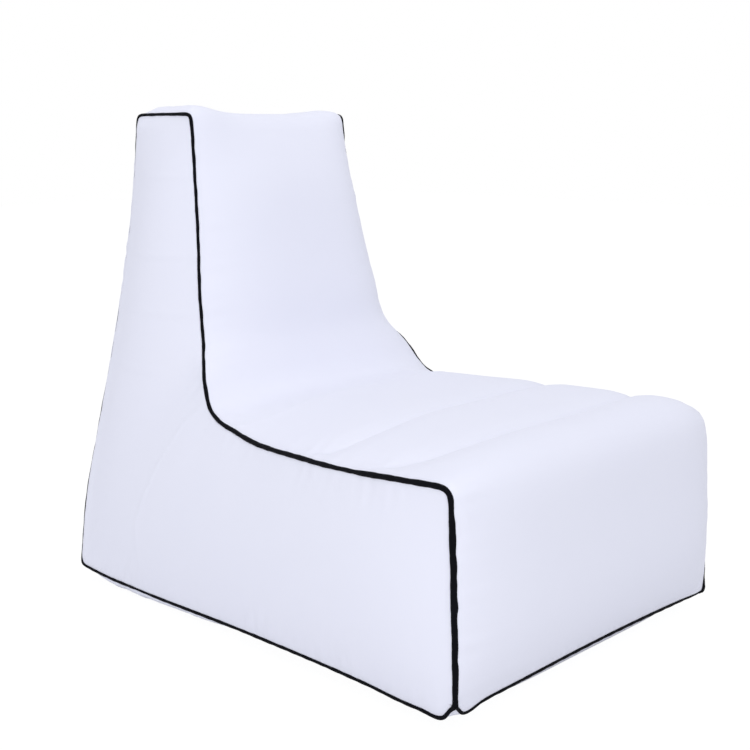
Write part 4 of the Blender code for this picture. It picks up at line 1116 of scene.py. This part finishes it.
def pressed(points):
    """The cloth under the eyelet: flat inside its flange, with short creases that run away from it."""
    reach = points - valve_place
    level = reach @ valve_axis
    sideways = reach - level[..., None] * valve_axis
    radius = np.linalg.norm(sideways, axis=-1)
    turn = np.arctan2(sideways[..., 2], sideways[..., 0])
    flat = 1 - smooth_step((radius - flange_reach) / press_fade)
    beyond = np.clip(radius - flange_reach, 0, None) / crease_length
    waves = np.cos(7 * turn + 0.8) + 0.6 * np.cos(12 * turn)
    crease = valve_crease * beyond * np.exp(1 - beyond) * waves
    points = points + valve_axis * ((cloth_level - level) * flat + crease)[..., None]
    out = np.where(radius < hole_radius, hole_radius / np.maximum(radius, 1e-6) - 1, 0)
    return points + sideways * out[..., None], radius < hole_radius


# %% Rear cloth
rear_pucker = (0.0018, 0.024)
slot_pucker = (0.0009, 0.016)


def rear_panel(name, node, seed):
    """The rear panel, without the faces in the slot and in the valve's hole."""
    stations = rear_stations()
    points = cover.across(stations, rear_shares(stations))
    height = (points - zip_centre) @ zip_up
    rise, away, ends = puckered(points, seed, *rear_pucker)
    rise += rolled(away, rear_roll_height, rear_roll_reach)
    rise += puckers(height, np.abs(points[..., 0]) - slot_half_width, seed + 2, *slot_pucker)
    points += surface_normals(points) * (rise * ends + hem(points))[..., None]
    points, inside = pressed(settled(points))
    middles = (points[:-1, :-1] + points[1:, 1:]) / 2
    slot = (np.abs(middles[..., 0]) < slot_half_width) & (
        np.abs((middles - zip_centre) @ zip_up) < slot_half_length)
    hole = inside[:-1, :-1] & inside[1:, 1:] & inside[1:, :-1] & inside[:-1, 1:]
    used, corners = np.unique(faces_of(*points.shape[:2])[~(slot | hole)], return_inverse=True)
    stretched_cloth(name, node, points, corners, used)


rear_panel("rear_cloth", "cover_rear", 31)


# %% [markdown]
# ## Piping
#
# Black tape is folded round a cord and sewn into the seam, so that a roll of it stands proud between the
# two panels. A tube is swept along the seam: its radius changes where the cloth swallows it, and
# shallow slantwise creases run round it, because the tape is cut on the bias.

# %% Sweep
def tube(path, sizes, guide, closed=False):
    """Points round a path: path + r (first cos a + second sin a), with first at a right angle to the run
    and nearest to the guide."""
    run = unit(run_of(path, closed))
    first = unit(guide - (guide * run).sum(axis=1)[:, None] * run)
    second = np.cross(run, first)
    angle = np.linspace(0, math.tau, sizes.shape[1])[None, :, None]
    ring = first[:, None] * np.cos(angle) + second[:, None] * np.sin(angle)
    points = path[:, None] + ring * sizes[..., None]
    points[:, -1] = points[:, 0]
    return points


bias_lengths = (0.0072, 0.0115, 0.019)
bias_crease = 0.018
swell_lengths = (0.034, 0.058, 0.11, 0.19)
swell_shares = (0.5, 0.5, 0.4, 0.3)
swelling = 0.065
wander = 0.00045
wander_fade = 0.05


def swept(name, node, path, radius, closed, seed, sides=12):
    """A tube along a path. Its radius has creases r (1 + c cos(k s + 2a)) and slower swellings, and its
    path wanders by less than a millimetre, as sums of cosines."""
    along = arc_lengths(path)[:, None]
    angle = np.arange(sides + 1)[None, :] / sides * math.tau
    draw = np.random.default_rng(seed)
    crease = sum(draw.uniform(0.3, 1) * np.cos(math.tau * along / length + 2 * angle
                                               + draw.uniform(0, math.tau))
                 for length in bias_lengths)
    turns = np.round(along[-1] / np.array(swell_lengths)) * math.tau / (along[-1] + loop_step)
    slow = np.cos(along * turns + draw.uniform(0, math.tau, (3, 1, 4))) @ swell_shares
    size = np.asarray(radius)[:, None] * (1 + bias_crease * crease + swelling * slow[0][:, None])
    path = path + np.stack((slow[1], slow[2], 0 * slow[1]), axis=1) * wander * np.minimum(
        1, np.minimum(along, along[-1] - along) / wander_fade)
    points = tube(path, size, np.array((1.0, 0.0, 0.0) if closed else (0.0, 0.0, 1.0)), closed)
    uv = np.stack((np.broadcast_to(angle * np.mean(radius), size.shape),
                   np.broadcast_to(along, size.shape)), axis=2)
    if closed:
        points = np.concatenate((points, points[:1]))
        uv = np.concatenate((uv, uv[-1:] + (0, loop_step)))
    made = mesh_piece(name, points, faces_of(*points.shape[:2]), "piping", node=node, uv=uv)
    welded(made, 1e-6, fill=not closed)


# %% Side loops
piping_radii = sizes_along((
    ("front", 0.0, 0.0044), ("front", 0.03, 0.0051), ("front", 0.40, 0.0052), ("front", 0.48, 0.0058),
    ("front", 0.78, 0.0058), ("front", 0.89, 0.0046), ("seat_back", 0.0, 0.0046), ("seat_back", 0.02, 0.0050),
    ("seat_back", 0.150, 0.0048), ("seat_back", 0.170, 0.0041), ("seat_back", 0.210, 0.0040),
    ("seat_back", 0.230, 0.0045), ("seat_back", 0.42, 0.0046), ("seat_back", 0.56, 0.0036),
    ("seat_back", 1.0, 0.0036), ("top", 0.5, 0.0034), ("rear", 0.05, 0.0030), ("rear", 0.9, 0.0032),
    ("bottom", 0.0, 0.0032), ("bottom", 0.15, 0.0033), ("bottom", 0.19, 0.0024), ("bottom", 0.23, 0.0024),
    ("bottom", 0.26, 0.0033), ("bottom", 0.9, 0.0034), ("bottom", 1.0, 0.0036)))
left_front = sizes_along((("front", 0.0, 1.0), ("front", 0.05, 0.76), ("front", 1.0, 0.76),
                          ("seat_back", 0.08, 1.0), ("bottom", 1.0, 1.0)))
for word, sign, share in (("right", -1, 1.0), ("left", 1, left_front)):
    swept("piping_tape_" + word, "piping_" + word, settled(seam * (sign, 1, 1)), piping_radii * share,
          True, 61 + sign)

# %% Front and rear lengths
for word, stretch, radii in (("front", "front", (0.0032, 0.0036, 0.0020)),
                             ("rear", "bottom", (0.0036, 0.0036, 0.0036))):
    path = settled(cover.across([station(stretch, 0.0)], np.linspace(-1, 1, 181))[0])
    radius = np.interp(np.linspace(-1, 1, len(path)), (-1, 0.65, 1), radii)
    swept("piping_tape_" + word, "piping_" + word + "_edge", path, radius, False, 71)

# %% [markdown]
# ## Zip
#
# A nylon coil zip: on each tape sits a flattened spiral of thin rod, sewn down by a row of chain stitch.
# The slot's hem is sewn through both tapes. A spiral is a tube whose path circles while it climbs, and
# the stitches are short slim beads, all in one mesh. The metal slider and pull keep the CAD shapes,
# with their edges rounded as casting leaves them.

# %% Zip coils
coil_inner_edge = 0.00055
coil_width = 0.00265
coil_height = 0.0018
coil_half_length = 0.292
rod_radius = 0.00032
coil_pitch = 0.0015
coil_level = tape_level + sheet_gap + coil_height / 2


def on_zip(points):
    """Places given as (x, out of the cover, up along the zip)."""
    return zip_centre + points[..., :1] * (1, 0, 0) + points[..., 1:2] * zip_out + points[..., 2:] * zip_up


def zip_coil(word, side):
    """A flattened spiral: x = w cos a, out = h sin a, up = pitch a / 2 pi."""
    turns = 2 * coil_half_length / coil_pitch
    angle = np.linspace(0, turns * math.tau, int(turns * 8)) + (0.5 * math.pi if side < 0 else 0)
    wide, high = coil_width / 2 - rod_radius, coil_height / 2 - rod_radius
    path = np.stack((side * (coil_inner_edge + coil_width / 2) + wide * np.cos(angle) * side,
                     coil_level + high * np.sin(angle),
                     np.linspace(-coil_half_length, coil_half_length, len(angle))), axis=1)
    points = tube(on_zip(path), np.full((len(path), 5), rod_radius), zip_up)
    made = mesh_piece("zip_spiral_" + word, points, faces_of(*points.shape[:2]), "zip_tape",
                      node="zip_coil_" + word)
    welded(made, 1e-7, fill=True)


zip_coil("right", -1)
zip_coil("left", 1)

# %% Guard strip
guard_half_width = 0.0175
guard_half_length = 0.306
guard_level = -0.0038
guard_wave = 0.00012
guard_thickness = 0.0004


def zip_guard():
    """A strip of cloth behind the zip, sewn to the tapes' outer edges, that keeps the slider off the
    film: x and up on a grid, out = level + a sin(k up)."""
    x = np.linspace(-guard_half_width, guard_half_width, 13)[None, :]
    up = np.linspace(-guard_half_length, guard_half_length, 205)[:, None]
    across, along = np.broadcast_arrays(x, up)
    out = guard_level + guard_wave * np.sin(along * math.tau / 0.041) * np.cos(across * 90)
    points = on_zip(np.stack((across, out, along), axis=-1))
    made = walled(mesh_piece("zip_guard", points, faces_of(*points.shape[:2])[:, :, ::-1], "cover_cloth",
                             uv=grid_lengths(points)), guard_thickness)
    round(grid_area(points), 4)


zip_guard()

# %% Stitches
stitch_pitch = 0.0028
stitch_length = 0.0023
thread_radius = 0.00022


def stitch_rows(name, slot, places, level, lowest, highest):
    """Rows of stitches up along the zip, one row at each x of places, all in one mesh. A stitch is a
    slim six-sided bead with a middle ring and pointed ends."""
    heights = np.arange(lowest, highest, stitch_pitch)
    rows = np.broadcast_arrays(np.array(places)[:, None], level, heights)
    low = on_zip(np.stack(rows, axis=-1).reshape(-1, 3))[:, None, None]
    share = np.array((0.0, 0.12, 0.5, 0.88, 1.0))[:, None, None]
    thick = np.array((0.05, 0.8, 1.0, 0.8, 0.05))[:, None, None] * thread_radius
    angle = (np.arange(7) / 6 * math.tau)[:, None]
    ring = unit(np.cross(zip_up, zip_out)) * np.cos(angle) + zip_out * np.sin(angle)
    points = low + zip_up * stitch_length * share + ring * thick
    faces = faces_of(5, 7).reshape(-1, 4) + np.arange(len(points))[:, None, None] * 35
    welded(mesh_piece(name, points, faces, slot), 1e-6, fill=True)


hem_line = slot_half_width + stitch_line
hem_end = slot_half_length + 0.004
stitch_rows("hem_stitches", "cover_cloth", (-hem_line, hem_line), 0.0002, -hem_end, hem_end)
stitch_rows("coil_stitches", "zip_tape", (-0.0046, -0.0040, 0.0040, 0.0046), tape_level + 0.00005,
            -coil_half_length, coil_half_length - stitch_pitch)


# %% Rounded castings
def rounded_copy(name, node, body, width):
    """A carried-over metal node's own shape with its doubled points merged, flat faces joined and every
    sharp edge rounded."""
    data = nodes[node].data.copy()
    mesh = bmesh.new()
    mesh.from_mesh(data)
    bmesh.ops.remove_doubles(mesh, verts=mesh.verts, dist=1e-6)
    bmesh.ops.dissolve_limit(mesh, angle_limit=0.01, verts=mesh.verts, edges=mesh.edges)
    mesh.to_mesh(data)
    mesh.free()
    data.shade_smooth()
    soften = placed(name, data, "zip_metal", body, node).modifiers.new("soften", "BEVEL")
    soften.width = width
    soften.segments = 2
    soften.limit_method = "ANGLE"
    soften.angle_limit = math.radians(35)
    soften.harden_normals = True
    print(name + ":", len(data.polygons), "faces")


rounded_copy("slider_casting", "zip_slider", "slider", 0.00018)
rounded_copy("pull_casting", "zip_pull", "pull", 0.00025)

# %% [markdown]
# ## Air valve
#
# The valve is turned plastic: an eyelet that clamps the cloth, a screwed insert and a cap with grip ribs.
# The eyelet and the cap are each a profile carried round the valve's axis, fine enough to look round
# close up; the insert keeps the CAD's shape. The cap's wall swells into twelve ribs: its radius is
# r + d max(0, cos 12a)^6.

# %% Turned pieces
turn_first = np.cross(valve_axis, (0.0, 0.0, 1.0))
turn_first /= np.linalg.norm(turn_first)
turn_second = np.cross(valve_axis, turn_first)


def softened(profile, radius, steps=4):
    """A closed profile of (radius, level) corners, each cut by an arc that starts at most a given
    distance before it."""
    corners = np.array(profile, float)
    before, after = np.roll(corners, 1, axis=0) - corners, np.roll(corners, -1, axis=0) - corners
    start, end = (corners + unit(run) * np.minimum(radius, np.linalg.norm(run, axis=1) * 0.45)[:, None]
                  for run in (before, after))
    u = np.linspace(0, 1, steps)[None, :, None]
    arcs = start[:, None] * (1 - u) ** 2 + corners[:, None] * 2 * u * (1 - u) + end[:, None] * u ** 2
    return arcs.reshape(-1, 2)


rib_fade = 0.0006
rib_wall_share = 0.97


def turned(name, node, body, profile, radius=0.0003, ribs=None, sides=192):
    """A closed profile carried round the valve's axis. ribs = (low, high, depth, number) swells the wall
    between two levels."""
    outline = softened(profile, radius)
    outline = np.vstack((outline, outline[:1]))[None]
    angle = np.linspace(0, math.tau, sides + 1)[:, None]
    distance, level = np.broadcast_arrays(outline[..., 0], angle)[0].copy(), outline[..., 1] + 0 * angle
    if ribs:
        low, high, depth, number = ribs
        wall = (distance > distance.max() * rib_wall_share) * smooth_step(
            (level - low) / rib_fade) * smooth_step((high - level) / rib_fade)
        distance += depth * wall * np.clip(np.cos(number * angle), 0, 1) ** 6
    distance = np.maximum(distance, 1e-5)
    points = (valve_place + level[..., None] * valve_axis + distance[..., None]
              * (np.cos(angle)[..., None] * turn_first + np.sin(angle)[..., None] * turn_second))
    points[-1] = points[0]
    made = mesh_piece(name, points, faces_of(*points.shape[:2]), "valve_plastic", body, node)
    welded(made, 1e-5)


eyelet_low, eyelet_top = levels("valve_eyelet")
turned("eyelet_ring", "valve_eyelet", "sofa", (
    (0.0233, eyelet_top), (0.0310, eyelet_top), (0.0310, eyelet_top - eyelet_flange),
    (0.0245, eyelet_top - eyelet_flange), (0.0245, eyelet_low), (0.0233, eyelet_low)))
cap_low, cap_high = levels("valve_cap")
cap_radius, cap_bore, cap_roof = 0.0200, 0.0168, 0.0020
turned("cap_shell", "valve_cap", "cap", (
    (0.0, cap_high - 0.0004), (0.0120, cap_high - 0.0004), (0.0132, cap_high), (0.0192, cap_high),
    (cap_radius, cap_high - 0.0008), (cap_radius, cap_high - 0.0016),
    (cap_radius, (cap_low + cap_high) / 2), (cap_radius, cap_low + 0.0008), (cap_radius, cap_low),
    (cap_bore, cap_low), (cap_bore, cap_high - cap_roof), (0.0, cap_high - cap_roof)),
    0.0005, (cap_low + 0.0006, cap_high - 0.0012, 0.0008, 12))

# %% [markdown]
# ## Light and floor
#
# A studio shot on white: an even bright surround and three large soft lamps, one from the front, one
# from the side and one above. The camera sees pure white where there is nothing, while the surround
# that lights the sofa is a little dimmer and cooler, and the floor keeps the sofa's soft shadow.

# %% World
surround_cool = (0.716, 0.728, 0.756, 1)
world = bpy.data.worlds.new("studio")
world.use_nodes = True
bpy.context.scene.world = world


def seen_rays(tree):
    """1 for rays of the camera, of glossy surfaces and through clear ones, else 0."""
    paths = tree.nodes.new("ShaderNodeLightPath")
    camera_ray, glossy, through_ray = (Value(tree, paths.outputs[name]) for name in (
        "Is Camera Ray", "Is Glossy Ray", "Is Transmission Ray"))
    return camera_ray.maths("MINIMUM", camera_ray + glossy + through_ray, 1.0)


background = world.node_tree.nodes["Background"]
surround = seen_rays(world.node_tree).mix(surround_cool, (1, 1, 1, 1))
world.node_tree.links.new(surround.socket, background.inputs["Color"])

# %% Floor
floor_reach = 12.0
floor_grey = (0.80, 0.80, 0.80, 1)
glow_share = 0.88
glow_strength = 1.075
floor_data = bpy.data.meshes.new("floor")
floor_data.from_pydata([(-floor_reach, -floor_reach, 0), (floor_reach, -floor_reach, 0),
                        (floor_reach, floor_reach, 0), (-floor_reach, floor_reach, 0)], [], [(0, 1, 2, 3)])
floor = bpy.data.objects.new("floor", floor_data)
bpy.context.scene.collection.objects.link(floor)
floor_look = bpy.data.materials.new("floor")
floor_look.use_nodes = True
floor_data.materials.append(floor_look)
floor_tree = floor_look.node_tree
plain = floor_tree.nodes["Principled BSDF"]
plain.inputs["Base Color"].default_value = floor_grey
plain.inputs["Roughness"].default_value = 1.0
plain.inputs["Specular IOR Level"].default_value = 0.0
seen = seen_rays(floor_tree) * glow_share
glow = seen.node("ShaderNodeEmission", {"Color": (1, 1, 1, 1), "Strength": glow_strength})
shown = seen.node("ShaderNodeMixShader", {0: seen, 1: Value(floor_tree, plain.outputs["BSDF"]), 2: glow})
floor_tree.links.new(shown.socket, floor_tree.nodes["Material Output"].inputs["Surface"])

# %% Lamps
lamp_target = Vector((0, 0, 0.4))
for name, place, size, power in (("front", (-2.4, -3.4, 1.4), 2.5, 24.6),
                                 ("side", (-3.8, -1.6, 0.9), 2.5, 31.1),
                                 ("top", (0.0, -0.4, 3.8), 3.0, 29.6)):
    lamp_data = bpy.data.lights.new(name, "AREA")
    lamp_data.size = size
    lamp_data.energy = power
    lamp = bpy.data.objects.new(name, lamp_data)
    lamp.location = place
    lamp.rotation_mode = "QUATERNION"
    lamp.rotation_quaternion = (Vector(place) - lamp_target).to_track_quat("Z", "Y")
    bpy.context.scene.collection.objects.link(lamp)
bpy.context.scene.view_settings.view_transform = "Standard"
